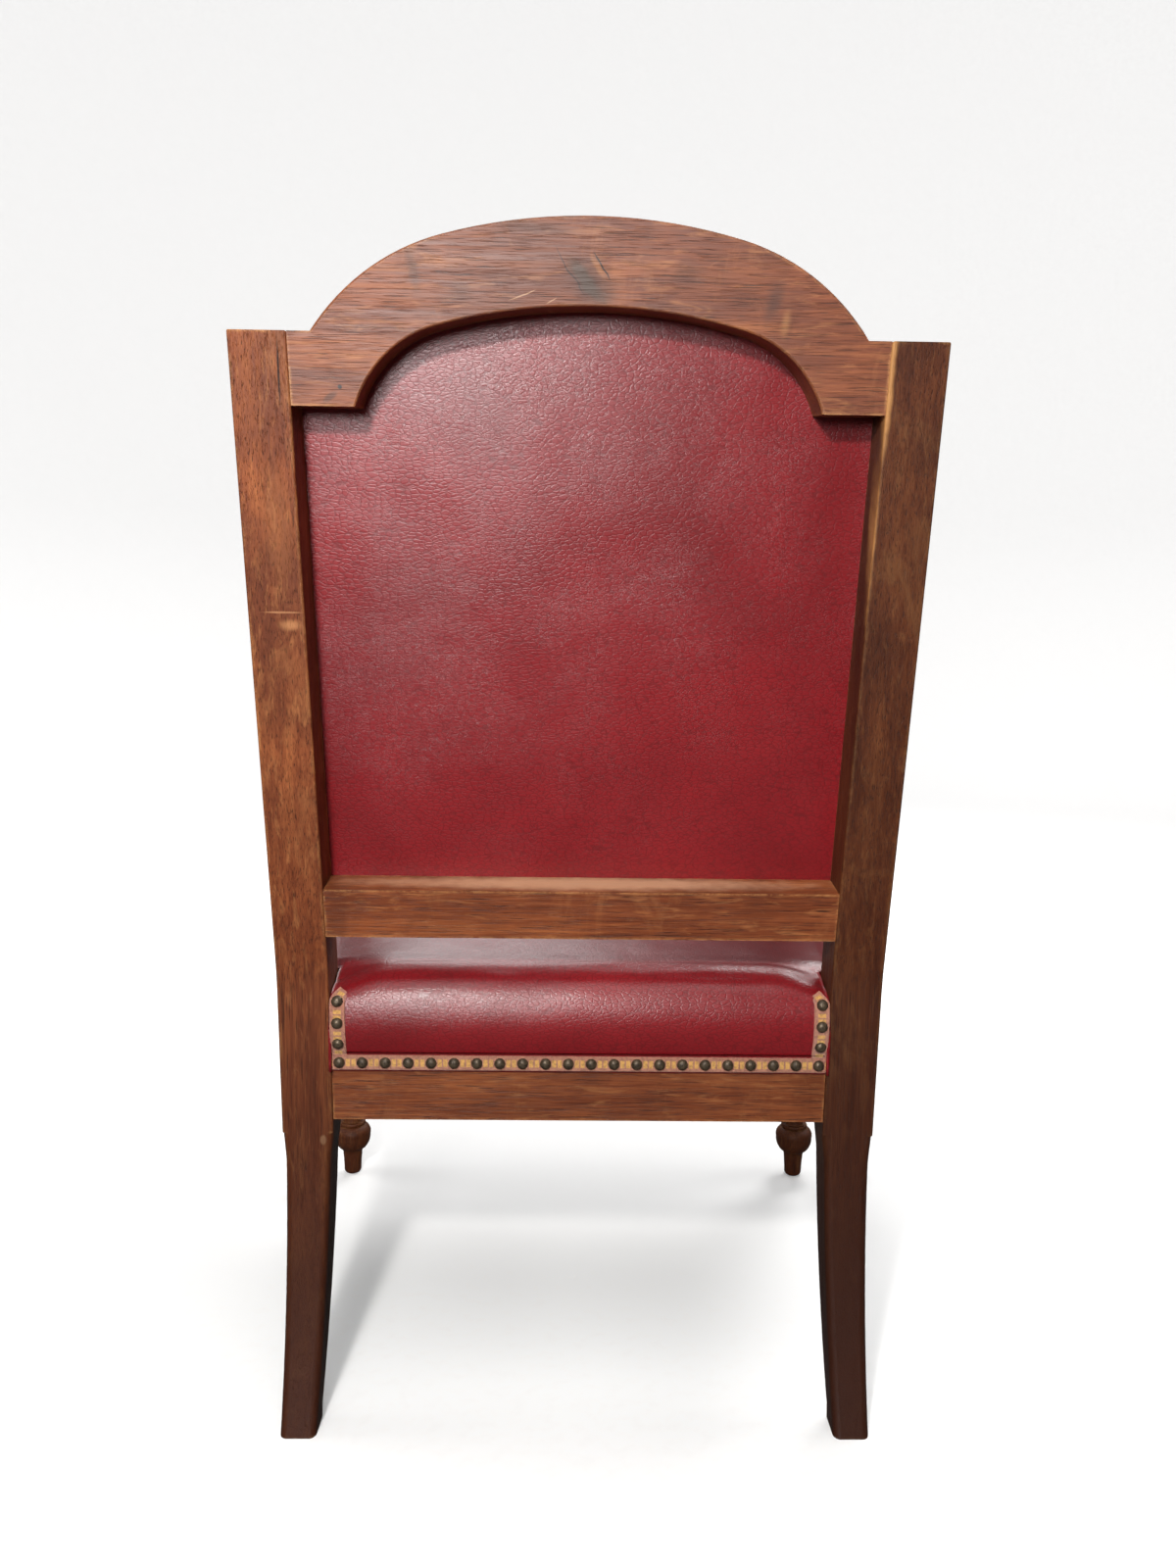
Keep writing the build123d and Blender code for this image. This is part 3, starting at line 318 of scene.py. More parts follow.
def pad_grid(inset, folds):
    """Points and faces of the seat pad with its four corners cut out round the posts."""
    columns, edge_count = stations(77.0, 12.0, 60)
    rows, _ = stations(82.0, 5.0, 52)
    last_c, last_r = len(columns) - edge_count, len(rows) - edge_count
    index, points, faces = {}, [], []
    for r, along in enumerate(rows):
        for c, across in enumerate(columns):
            in_end = r < edge_count - 1 or r > last_r
            in_side = c < edge_count - 1 or c > last_c
            if in_end and in_side:
                continue
            point = seat_point(across, along, inset)
            low = pad_droop(*point)
            if folds and point.z > GROUND + 4:
                low += creases(point) * min(1.0, (point.z - GROUND - 4) / 20)
            point.z -= low
            index[r, c] = len(points)
            points.append(tuple(point))
    for r in range(len(rows) - 1):
        for c in range(len(columns) - 1):
            corner = [index.get(key) for key in ((r, c), (r, c + 1), (r + 1, c + 1), (r + 1, c))]
            if None not in corner:
                faces.append(tuple(reversed(corner)))
    walls = {}

    def wall(a, b, flip):
        """Leather tucked down beside a post."""
        low = []
        for i in (a, b):
            if i not in walls:
                x, y, z = points[i]
                walls[i] = []
                for share in (0.25, 0.6, 1.0):
                    walls[i].append(len(points))
                    points.append((x, y, z + (GROUND - SKIRT + 0.5 - z) * share))
            low.append(walls[i])
        if max(points[a][2], points[b][2]) < GROUND - SKIRT + 1:
            return
        chain_a = [a] + low[0]
        chain_b = [b] + low[1]
        for k in range(3):
            quad = (chain_a[k], chain_b[k], chain_b[k + 1], chain_a[k + 1])
            faces.append(quad if flip else tuple(reversed(quad)))

    first = edge_count - 1
    for c, flip in ((first, True), (last_c, False)):
        for r in (*range(first), *range(last_r, len(rows) - 1)):
            wall(index[r, c], index[r + 1, c], flip)
    for r, flip in ((first, False), (last_r, True)):
        for c in (*range(first), *range(last_c, len(columns) - 1)):
            wall(index[r, c], index[r, c + 1], flip)
    return points, faces


def crown(x, slope, grow):
    """Share of the back's bulge at a place: 1 in its middle and 0 at its edges."""
    up = (slope - BACK_MIDDLE) / (BACK_MIDDLE - RAIL_TOP + grow)
    out = x / (back_half(slope) + grow)
    return max(0.0, 1 - up**2) * max(0.0, 1 - out**2)


def ringed(name, rings, level_cap, shrink, bulge, seed, folds):
    """Lofted piece on the raked back from (growth, level) rings, closed by shrinking rings."""
    loops = [[on_back(x, s, level) for x, s in outline(grow)] for grow, level in rings]
    grow = rings[-1][0]
    last = outline(grow)
    centre = (RAIL_TOP + UNDER + 60) / 2
    for i in range(1, shrink + 1):
        share = 1 - i / (shrink + 0.15)
        loop = []
        for x, s in last:
            px = x * share
            ps = centre + (s - centre) * share
            rise = min(1.0, (1 - share) * 5) * crown(px, ps, grow)
            loop.append(on_back(px, ps, level_cap + bulge * rise))
        loops.append(loop)
    points = []
    for k, loop in enumerate(loops):
        for x, y, z in loop:
            uneven = wobble(x, y, z, 0.012, seed) + 0.4 * wobble(x, y, z, 0.04, seed + 7)
            d = folds * uneven if k > 3 else 0.0
            points.append((x, y - d * cos(RAKE), z + d * sin(RAKE)))
    count = len(last)
    faces = grid_faces(len(loops), count, closed=True)
    faces.append(tuple(range((len(loops) - 1) * count, len(loops) * count)))
    return mesh(name, points, faces)


def band(name, middle, across, outward, units):
    """Woven braid with a ribbed face along a line; units count its nails."""
    points, uvs = [], []
    for place, side, normal, unit in zip(middle, across, outward, units):
        for share, lift in BRAID_SECTION:
            ridge = 0.08 * sin(unit * 2 * pi * 8 + share * 9) if 0.5 < lift else 0.0
            up = BRAID_THICK * min(1.0, lift + ridge)
            points.append(tuple(place + side * (share * BRAID) + normal * up))
            uvs.append((unit, share))
    return mesh(name, points, grid_faces(len(middle), len(BRAID_SECTION)), uvs)


# Node materials

class Nodes:
    """Short way to write a material's node tree."""

    def __init__(self, name):
        self.material = bpy.data.materials.new(name)
        self.material.use_nodes = True
        self.tree = self.material.node_tree
        self.shader = self.tree.nodes["Principled BSDF"]

    def put(self, kind, inputs=None, **values):
        node = self.tree.nodes.new("ShaderNode" + kind)
        for key, value in values.items():
            setattr(node, key, value)
        for key, value in (inputs or {}).items():
            self.feed(node, key, value)
        return node

    def feed(self, node, key, value):
        socket = node.inputs[key]
        if isinstance(value, bpy.types.NodeSocket):
            self.tree.links.new(value, socket)
        elif isinstance(value, tuple) and len(value) == 3 and socket.type == "RGBA":
            socket.default_value = (*value, 1)
        else:
            socket.default_value = value

    def math(self, operation, a, b=0.0, clamp=False):
        node = self.put("Math", {0: a, 1: b}, operation=operation, use_clamp=clamp)
        return node.outputs[0]

    def near(self, value, middle, reach):
        """1 where the value is within reach of the middle, else 0."""
        off = self.math("ABSOLUTE", self.math("SUBTRACT", value, middle))
        return self.math("LESS_THAN", off, reach)

    def vector(self, operation, a, b):
        return self.put("VectorMath", {0: a, 1: b}, operation=operation).outputs[0]

    def mix(self, share, a, b):
        node = self.put("Mix", data_type="RGBA")
        self.feed(node, 0, share)
        self.feed(node, 6, a)
        self.feed(node, 7, b)
        return node.outputs[2]

    def span(self, value, low, high, to_low=0.0, to_high=1.0, smooth=False):
        node = self.put(
            "MapRange",
            {0: value, 1: low, 2: high, 3: to_low, 4: to_high},
            interpolation_type="SMOOTHSTEP" if smooth else "LINEAR",
        )
        return node.outputs[0]

    def place(self, scale=(1, 1, 1), shift=(0, 0, 0)):
        coordinates = self.put("TexCoord").outputs["Object"]
        node = self.put("Mapping", {0: coordinates})
        node.inputs["Scale"].default_value = scale
        node.inputs["Location"].default_value = shift
        return node.outputs[0]

    def noise(self, vector, scale, detail=4.0, rough=0.55, distortion=0.0):
        node = self.put("TexNoise", {
            "Vector": vector, "Scale": scale, "Detail": detail, "Roughness": rough,
            "Distortion": distortion,
        })
        return node.outputs[0]

    def ramp(self, value, *stops):
        node = self.put("ValToRGB", {0: value})
        ramp = node.color_ramp
        while len(ramp.elements) < len(stops):
            ramp.elements.new(0.5)
        for element, (position, color) in zip(ramp.elements, stops):
            element.position = position
            element.color = (*color, 1)
        return node.outputs[0]

    def bump(self, height, strength, distance, normal=None):
        inputs = {"Height": height, "Strength": strength, "Distance": distance}
        if normal is not None:
            inputs["Normal"] = normal
        return self.put("Bump", inputs).outputs[0]

    def set(self, **values):
        for key, value in values.items():
            self.feed(self.shader, key.replace("_", " "), value)


def lengthwise(axis, across, length):
    """Scale of a grain that runs along an axis."""
    return tuple(length if letter == axis else across for letter in "xyz")


def toned(tone, color):
    return tuple(tone * v for v in color)


def spot(n, centre, size, soft=0.5, turn=0.0):
    """Mask of an ellipsoid turned about y, from 1 inside to 0 outside."""
    coordinates = n.put("TexCoord").outputs["Object"]
    warp = n.put("TexNoise", {"Vector": coordinates, "Scale": 60.0, "Detail": 3.0}).outputs[1]
    moved = n.vector("SUBTRACT", warp, (0.5, 0.5, 0.5))
    moved = n.vector("MULTIPLY", moved, tuple(0.5 * v for v in size))
    place = n.vector("ADD", coordinates, moved)
    away = n.vector("SUBTRACT", place, centre)
    rotated = n.put("VectorRotate", {"Vector": away, "Angle": radians(turn)}, rotation_type="Y_AXIS")
    shares = n.vector("MULTIPLY", rotated.outputs[0], tuple(1 / v for v in size))
    far = n.put("VectorMath", {0: shares}, operation="LENGTH").outputs["Value"]
    return n.span(far, 1.0, 1.0 - soft, smooth=True)


def wood(name, axis, tone, wear, shift, marks=(), foot=0.0, gloss=0.22):
    """Dark stained oak: open grain, dark pores, and edges worn back to orange and gold.

    Marks are (centre, size, softness, colour, share and perhaps a turn in degrees).
    """
    n = Nodes(name)
    moved = (shift, shift * 0.7, shift * 0.3)
    broad = n.noise(n.place(lengthwise(axis, 26, 2.2), moved), 1.0, 4.0, 0.5, 1.4)
    streak = n.noise(n.place(lengthwise(axis, 210, 7), moved), 1.0, 5.0, 0.62, 0.6)
    fine = n.noise(n.place(lengthwise(axis, 620, 30), moved), 1.0, 3.0, 0.6, 0.3)
    cloud = n.noise(n.place((9, 9, 6), moved), 1.0, 4.0, 0.6, 0.6)
    grain = n.math("ADD", n.math("MULTIPLY", broad, 0.38), n.math("MULTIPLY", streak, 0.34))
    grain = n.math("ADD", grain, n.math("MULTIPLY", fine, 0.28))
    color = n.ramp(
        grain,
        (0.34, toned(tone, (0.085, 0.0190, 0.0065))),
        (0.45, toned(tone, (0.155, 0.0370, 0.0120))),
        (0.54, toned(tone, (0.230, 0.0620, 0.0190))),
        (0.66, toned(tone, (0.330, 0.1050, 0.0330))),
    )
    clouded = n.span(cloud, 0.44, 0.66, 0.0, 0.62)
    color = n.mix(clouded, color, toned(tone, (0.085, 0.0200, 0.0075)))
    figure = n.noise(n.place(lengthwise(axis, 130, 24), moved), 1.0, 4.0, 0.6, 0.9)
    figured = n.span(figure, 0.55, 0.70, 0.0, 0.40)
    color = n.mix(figured, color, toned(tone, (0.40, 0.160, 0.055)))
    pores = n.noise(n.place(lengthwise(axis, 1300, 34), moved), 1.0, 2.0, 0.5, 0.4)
    pore_mask = n.span(pores, 0.56, 0.68, 0.0, 0.7)
    color = n.mix(pore_mask, color, (0.016, 0.0055, 0.003))
    geometry = n.put("NewGeometry")
    bevel = n.put("Bevel", {"Radius": 0.005}, samples=6)
    normals = {0: bevel.outputs[0], 1: geometry.outputs["Normal"]}
    dot = n.put("VectorMath", normals, operation="DOT_PRODUCT")
    edge = n.math("SUBTRACT", 1.0, dot.outputs["Value"])
    scuff = n.noise(n.place((46, 46, 46), moved), 1.0, 6.0, 0.75, 0.9)
    worn = n.math("MULTIPLY", n.span(edge, 0.01, 0.16), n.span(scuff, 0.42, 0.58), clamp=True)
    worn = n.math("MULTIPLY", worn, 0.85 * wear, clamp=True)
    color = n.mix(worn, color, toned(tone, (0.56, 0.27, 0.095)))
    handled = n.noise(n.place((17, 17, 8), moved), 1.0, 6.0, 0.7, 1.0)
    rubbed = n.span(handled, 0.56, 0.72, 0.0, 0.45 * wear)
    color = n.mix(rubbed, color, toned(tone, (0.35, 0.135, 0.046)))
    for centre, size, soft, mark_color, amount, *turn in marks:
        share = n.math("MULTIPLY", spot(n, centre, size, soft, *turn), amount)
        color = n.mix(share, color, mark_color)
    if foot:
        level = n.put("SeparateXYZ", {0: n.put("TexCoord").outputs["Object"]}).outputs[2]
        level = n.math("ADD", level, n.math("MULTIPLY", n.math("SUBTRACT", cloud, 0.5), 0.25))
        dark = n.span(level, 0.62, 0.08, 0.0, foot, smooth=True)
        color = n.mix(dark, color, (0.030, 0.0070, 0.0025))
    n.set(Base_Color=color)
    n.set(Roughness=n.span(streak, 0.3, 0.7, 0.44, 0.58))
    height = n.math("SUBTRACT", n.math("MULTIPLY", fine, 0.8), n.math("MULTIPLY", pore_mask, 1.0))
    n.set(Normal=n.bump(height, 0.55, 0.0006))
    n.shader.inputs["Specular IOR Level"].default_value = gloss
    return n


def leather(name, tone, crease, rough):
    """Red hide with a pebbled grain and fine creases that run mostly across it."""
    n = Nodes(name)
    warp = n.put("TexNoise", {"Vector": n.place(), "Scale": 22.0, "Detail": 3.0}).outputs[1]
    place = n.vector("MULTIPLY", warp, (0.011, 0.011, 0.011))
    place = n.vector("ADD", n.place((1, 1, 1.8)), place)
    inputs = {"Vector": place, "Scale": 160.0, "Randomness": 1.0}
    cells = n.put("TexVoronoi", inputs, feature="DISTANCE_TO_EDGE")
    pebble = n.span(cells.outputs["Distance"], 0.0, 0.17, smooth=True)
    fine = n.noise(n.place(), 780.0, 3.0, 0.6, 0.3)
    folds = n.noise(n.vector("ADD", n.place((0.42, 0.42, 1.5)), place), 88.0, 4.0, 0.62, 1.8)
    ridge = n.math("ABSOLUTE", n.math("SUBTRACT", folds, 0.5))
    ridge = n.span(ridge, 0.0, 0.05, smooth=True)
    where = n.noise(n.place(), 9.0, 3.0, 0.55, 0.4)
    ridge = n.math("MULTIPLY", n.math("SUBTRACT", 1.0, ridge), n.span(where, 0.40, 0.62))
    patches = n.noise(n.place(), 7.0, 5.0, 0.6, 0.5)
    color = n.ramp(
        patches,
        (0.30, toned(tone, (0.170, 0.0042, 0.0070))),
        (0.52, toned(tone, (0.212, 0.0060, 0.0098))),
        (0.74, toned(tone, (0.255, 0.0088, 0.0125))),
    )
    # Painted shade: the pebbles' edges are darker, as the shade between them.
    low = n.span(pebble, 0.0, 0.6, 0.5, 0.0)
    color = n.mix(low, color, toned(tone, (0.085, 0.0040, 0.0055)))
    # Painted shade: the creases are darker, as the shade in them.
    crease_shade = n.math("MULTIPLY", ridge, 0.4 * crease, clamp=True)
    color = n.mix(crease_shade, color, (0.075, 0.004, 0.005))
    n.set(Base_Color=color)
    n.set(Roughness=n.span(fine, 0.3, 0.7, rough + 0.05, rough - 0.05))
    height = n.math("ADD", n.math("MULTIPLY", pebble, 0.8), n.math("MULTIPLY", fine, 0.12))
    height = n.math("SUBTRACT", height, n.math("MULTIPLY", ridge, 1.1 * crease))
    swell = n.noise(n.place(), 30.0, 3.0, 0.55, 0.5)
    normal = n.bump(swell, 0.05, 0.0016)
    n.set(Normal=n.bump(height, 0.17, 0.0006, normal))
    n.shader.inputs["Specular IOR Level"].default_value = 0.5
    return n


def woven(name, color, scale, contrast):
    """Plain weave of crossing threads."""
    n = Nodes(name)
    vector = n.place((scale, scale, scale))
    parts = n.put("SeparateXYZ", {0: vector}).outputs
    warp = n.math("SINE", n.math("ADD", parts[0], parts[2]))
    weft = n.math("SINE", n.math("ADD", parts[1], parts[2]))
    thread = n.math("MULTIPLY", warp, weft)
    fleck = n.noise(n.place(), 90.0, 4.0, 0.6)
    dark = tuple(v * (1 - contrast) for v in color)
    tone = n.mix(n.span(thread, -0.6, 0.8), dark, color)
    tone = n.mix(n.span(fleck, 0.35, 0.65, 0.0, 0.4), tone, dark)
    n.set(Base_Color=tone, Roughness=0.85)
    n.set(Normal=n.bump(thread, 0.5, 0.0006))
    n.shader.inputs["Sheen Weight"].default_value = 0.2
    return n


def braid_material():
    """Orange-pink gimp with pairs of golden squares between the nails."""
    n = Nodes("braid")
    uv = n.put("UVMap", uv_map="length").outputs[0]
    parts = n.put("SeparateXYZ", {0: uv}).outputs
    unit = n.math("FRACT", n.math("ADD", parts[0], 1000.0))
    across = n.math("ABSOLUTE", parts[1])
    pair = n.math("FRACT", n.math("MULTIPLY", n.math("SUBTRACT", unit, 0.25), 4.0))
    between = n.near(unit, 0.5, 0.25)
    square = n.near(pair, 0.5, 0.36)
    square = n.math("MULTIPLY", square, n.math("LESS_THAN", across, 0.25))
    square = n.math("MULTIPLY", square, between)
    twist = n.math("ADD", n.math("MULTIPLY", parts[0], 190.0), n.math("MULTIPLY", parts[1], 60.0))
    thread = n.math("SINE", twist)
    edge = n.math("GREATER_THAN", across, 0.40)
    fleck = n.noise(n.place(), 420.0, 4.0, 0.65)
    ground = n.mix(n.span(thread, -0.7, 0.7), (0.36, 0.12, 0.075), (0.66, 0.31, 0.20))
    color = n.mix(square, ground, (0.78, 0.42, 0.11))
    color = n.mix(n.math("MULTIPLY", edge, 0.7), color, (0.50, 0.19, 0.12))
    color = n.mix(n.span(fleck, 0.42, 0.66, 0.0, 0.5), color, (0.13, 0.035, 0.02))
    n.set(Base_Color=color, Roughness=0.72)
    height = n.math("ADD", thread, n.math("MULTIPLY", square, 1.5))
    n.set(Normal=n.bump(height, 0.6, 0.0005))
    n.shader.inputs["Sheen Weight"].default_value = 0.25
    return n


def metal(name, dark, bright, rough, scale=120.0, bare=1.0):
    """Toned metal, brighter where it is rubbed; less than bare under its tarnish."""
    n = Nodes(name)
    tarnish = n.noise(n.place(), scale, 5.0, 0.65, 0.5)
    color = n.mix(n.span(tarnish, 0.35, 0.68), dark, bright)
    n.set(Base_Color=color, Metallic=bare)
    n.set(Roughness=n.span(tarnish, 0.3, 0.7, rough + 0.12, rough - 0.08))
    n.set(Normal=n.bump(tarnish, 0.25, 0.0004))
    return n


def hair_material():
    """Matted brown hair."""
    n = Nodes("hair")
    curl = n.noise(n.place(), 160.0, 6.0, 0.75, 3.0)
    color = n.ramp(curl, (0.3, (0.03, 0.018, 0.01)), (0.7, (0.22, 0.15, 0.09)))
    n.set(Base_Color=color, Roughness=0.9)
    n.set(Normal=n.bump(curl, 0.9, 0.002))
    return n


# Marks in the wood, where the photo shows them

DARK = (0.012, 0.004, 0.0025)
GOLD = (0.52, 0.25, 0.085)
STAIN = (0.048, 0.017, 0.010)
KNOT = (0.052, 0.031, 0.020)
SCRATCH = (0.55, 0.32, 0.18)

post_left_wood = wood("oak_post_left", "z", 1.12, 1.0, 0.0, (
    ((0.2628, 0.3135, 0.988), (0.0012, 0.02, 0.034), 0.6, DARK, 0.95),
    ((0.2640, 0.2838, 0.776), (0.013, 0.02, 0.0070), 0.8, (0.48, 0.21, 0.085), 0.7),
    ((0.2700, 0.2853, 0.7872), (0.022, 0.02, 0.0012), 0.6, (0.40, 0.18, 0.08), 0.8),
    ((0.2508, 0.2365, 0.276), (0.004, 0.02, 0.006), 0.5, (0.48, 0.25, 0.13), 0.9),
    ((0.2700, 0.3100, 0.860), (0.018, 0.05, 0.075), 0.7, (0.30, 0.105, 0.036), 0.4),
), foot=0.9)
# Painted shade: the right post is a darker copy of the left post's oak, tone 0.43 against 1.12, as
# the light falls from the left.
shaded_post_right_wood = wood("oak_post_right_painted_shade", "z", 0.43, 1.3, 3.7, (
    ((-0.2545, 0.3150, 0.985), (0.0060, 0.03, 0.09), 0.7, GOLD, 0.8, 1.1),
    ((-0.2500, 0.2941, 0.850), (0.0042, 0.03, 0.11), 0.7, GOLD, 0.75, 1.1),
    ((-0.2450, 0.2800, 0.715), (0.0030, 0.03, 0.10), 0.7, GOLD, 0.7, 1.1),
), foot=0.9)
crest_wood = wood("oak_crest", "x", 1.0, 0.8, 1.9, (
    ((0.1480, 0.322, 1.0700), (0.0070, 0.05, 0.026), 0.9, STAIN, 0.55, -12),
    ((0.1088, 0.321, 1.0530), (0.0140, 0.05, 0.012), 0.9, STAIN, 0.40),
    ((0.0478, 0.328, 1.1026), (0.0520, 0.05, 0.007), 0.9, STAIN, 0.50, 4),
    ((-0.1530, 0.321, 1.0480), (0.0090, 0.05, 0.024), 0.9, STAIN, 0.60, 14),
    ((-0.1640, 0.318, 1.0330), (0.0060, 0.05, 0.016), 0.95, GOLD, 0.28, 10),
    ((-0.0800, 0.322, 1.0700), (0.0220, 0.05, 0.014), 0.9, STAIN, 0.35),
    ((0.0010, 0.322, 1.0620), (0.0360, 0.05, 0.021), 0.9, STAIN, 0.85, 42),
    ((0.0040, 0.322, 1.0640), (0.0300, 0.05, 0.0075), 0.6, KNOT, 0.70, 46),
    ((0.0180, 0.324, 1.0700), (0.0310, 0.05, 0.0009), 0.5, DARK, 0.75, 50),
    ((-0.0050, 0.324, 1.0740), (0.0150, 0.05, 0.0034), 0.8, (0.36, 0.15, 0.055), 0.45, 54),
    ((-0.0085, 0.324, 1.0745), (0.0160, 0.05, 0.0008), 0.4, DARK, 1.00, 56),
    ((0.0575, 0.321, 1.0512), (0.0140, 0.05, 0.0006), 0.4, SCRATCH, 0.60, -21),
    ((0.0330, 0.321, 1.0470), (0.0060, 0.05, 0.0006), 0.4, SCRATCH, 0.55, -27),
    ((0.2121, 0.3104, 0.9767), (0.0022, 0.03, 0.0022), 0.4, DARK, 1.0),
    ((0.2212, 0.3093, 0.9685), (0.0090, 0.03, 0.004), 0.6, (0.06, 0.02, 0.012), 0.7, -30),
), gloss=0.5)
lower_wood = wood("oak_lower_rail", "x", 1.1, 0.6, 5.2, (
    ((-0.231, 0.2451, 0.5117), (0.010, 0.03, 0.0011), 0.6, DARK, 0.9),
    ((0.0, 0.227, 0.5325), (0.29, 0.034, 0.0055), 0.7, (0.60, 0.34, 0.20), 0.8),
))
rear_wood = wood("oak_seat_rail", "x", 0.88, 0.5, 8.6)
side_wood = wood("oak_side_rail", "y", 0.9, 0.9, 7.1)
arm_wood = wood("oak_arm", "y", 0.95, 1.0, 4.4)
leg_wood = wood("oak_leg", "z", 0.5, 0.7, 9.3)
beech = wood("raw_beech", "x", 2.2, 0.2, 6.0)
hide = leather("red_leather", 0.95, 0.5, 0.33)
hide_back = leather("red_leather_back", 0.95, 0.8, 0.33)
gimp = braid_material()
bronze = metal("nail_bronze", (0.030, 0.020, 0.012), (0.120, 0.085, 0.050), 0.44, 260.0, 0.45)
steel = metal("steel", (0.16, 0.15, 0.14), (0.5, 0.49, 0.47), 0.35)
jute = woven("jute", (0.42, 0.29, 0.16), 1900.0, 0.55)
hessian = woven("hessian", (0.46, 0.34, 0.2), 2600.0, 0.6)
black = woven("black_cloth", (0.02, 0.02, 0.021), 3600.0, 0.5)
hair = hair_material()

# What each CAD node wears

for look, *dressed in (
    (post_left_wood, "rear_post_left"),
    (shaded_post_right_wood, "rear_post_right"),
    (crest_wood, "crest_rail"),
    (lower_wood, "lower_back_rail"),
    (rear_wood, "rear_seat_rail", "front_seat_rail"),
    (side_wood, "side_seat_rail_left", "side_seat_rail_right"),
    (leg_wood, "front_leg_left", "front_leg_right"),
    (arm_wood, "armrest_left", "armrest_right"),
    (beech, "corner_block_rear_left", "corner_block_rear_right"),
    (beech, "corner_block_front_left", "corner_block_front_right"),
    (steel, "corner_block_screws", "seat_springs"),
    (bronze, "seat_nails_rear", "seat_nails_front", "seat_nails_left", "seat_nails_right"),
    (bronze, "seat_nails_risers", "back_nails"),
):
    for node in dressed:
        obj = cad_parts[node]
        obj.data.materials.clear()
        obj.data.materials.append(look.material)

# Arms with their edges rounded

for word in ("left", "right"):
    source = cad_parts[f"armrest_{word}"]
    arm = bpy.data.objects.new(f"arm_{word}", source.data.copy())
    bpy.context.collection.objects.link(arm)
    arm.matrix_world = source.matrix_world
    arm.data.materials.clear()
    for face in arm.data.polygons:
        face.use_smooth = True
    modifier(arm, "WELD", merge_threshold=0.00002)
    modifier(arm, "BEVEL", width=0.006, segments=4, limit_method="ANGLE", angle_limit=radians(30))
    ride(arm, arm_wood.material, f"armrest_{word}")

# Seat pad

cover = mesh("seat_leather", *pad_grid(0.0, True))
modifier(cover, "SUBSURF", levels=1, render_levels=1)
modifier(cover, "SOLIDIFY", thickness=0.0014, offset=-1)
ride(cover, hide.material, "seat_cover")


def dome_height(x, y):
    """Height of the canvas over the springs."""
    forward = REAR_Y - y
    end = RAIL_INSIDE + SETBACK
    inside = min(forward - end, DEPTH - end - forward, side_x(forward, -RAIL_INSIDE) - abs(x))
    return SPRING_RISE * max(0.0, min(1.0, inside / SPRING_SLOPE))


points, faces = pad_grid(2.2, False)
top = [(x, y, max(z, GROUND + 2)) for x, y, z in points]
underside = [(x * 0.999, y, GROUND + 1.4 + dome_height(x, y)) for x, y, _ in points]
under_faces = [tuple(len(points) + i for i in reversed(face)) for face in faces]
stuffing = mesh("seat_hair", top + underside, faces + under_faces)
ride(stuffing, hair.material, "seat_stuffing")

# Back: outer leather, inner pad and what is between them

rings = [(16.8, 0.9), (12, 0.8), (6, 0.8), (0, 0.8)]
outer = ringed("outer_leather", rings, 0.8, 26, -0.6, 3.0, 0.5)
modifier(outer, "SOLIDIFY", thickness=0.0014, offset=0)
ride(outer, hide_back.material, "outer_back_panel")

# Rolled edge of the inner pad, as (inwards, level)
FORM = (
    (18.6, 6.0), (17.5, 13.0), (18.2, 22.0), (21.5, 29.0), (27.0, 35.0), (34.0, 39.5),
    (44.0, 43.0), (58.0, 45.3), (78.0, 46.4),
)
rings = [(18.0, 5.3), (18.0, 6.7), (11.0, 6.7), (4.0, 6.7)]
rings += [(20.0 - draw, 5.4 + level) for draw, level in FORM]
inner = ringed("inner_leather", rings, 51.8, 30, 4.5, 11.0, 0.9)
modifier(inner, "SOLIDIFY", thickness=0.0012, offset=-1)
ride(inner, hide.material, "inner_back_cover")

rings = [(-2.0, 5.6)] + [(17.6 - draw, 3.6 + level * 0.97) for draw, level in FORM]
filling = ringed("back_hair", rings, 48.2, 10, 3.0, 21.0, 1.2)
ride(filling, hair.material, "back_stuffing")

backing = ringed("back_hessian", [(16.8, 4.8), (8, 4.8)], 4.8, 14, 0.0, 5.0, 0.1)
ride(backing, hessian.material, "back_canvas")

# Webs of the back and of the seat

WEB_HALF = 25
WEB_THICK = 1.2
BACK_WEB_PITCH = 84


def strips(name, lines):
    """Flat, slightly rippled webs from (start, end, across, up) lines."""
    steps = 40
    points, faces = [], []
    for line in lines:
        start, end, across, up = (Vector(v) for v in line)
        base = len(points)
        for i in range(steps + 1):
            middle = start.lerp(end, i / steps) + up * (0.15 * sin(i * pi / 4))
            for side, lift in ((-1, 0), (1, 0), (1, -WEB_THICK), (-1, -WEB_THICK)):
                points.append(tuple(middle + across * (side * WEB_HALF) + up * lift))
        faces += grid_faces(steps + 1, 4, closed=True, base=base)
    return mesh(name, points, faces)


def half_at(slope):
    """Half the width that the back's webs can take at a length up the back."""
    pairs = [(s, x) for x, s in outline(13) if x >= 0]
    best = 0.0
    for (s0, x0), (s1, x1) in zip(pairs, pairs[1:]):
        if min(s0, s1) <= slope <= max(s0, s1) and s0 != s1:
            best = max(best, x0 + (x1 - x0) * (slope - s0) / (s1 - s0))
    return best


upwards = (0, sin(RAKE), cos(RAKE))
forwards = (0, -cos(RAKE), sin(RAKE))
level = 2.6
lines = []
for k in range(6):
    slope = BACK_MIDDLE + (k - 2.5) * BACK_WEB_PITCH
    reach = min(half_at(slope - 24), half_at(slope + 24)) if k < 5 else half_at(slope + 20)
    slope = min(slope, UNDER + 60)
    lines.append((on_back(-reach, slope, level), on_back(reach, slope, level), upwards, forwards))
level = 4.2
for k in range(-2, 3):
    x = k * BACK_WEB_PITCH
    high = UNDER + (80, 66, 20)[abs(k)]
    ends = on_back(x, RAIL_TOP - 12, level), on_back(x, high, level)
    lines.append((*ends, (1, 0, 0), forwards))
ride(strips("back_webs", lines), jute.material, "back_webbing")

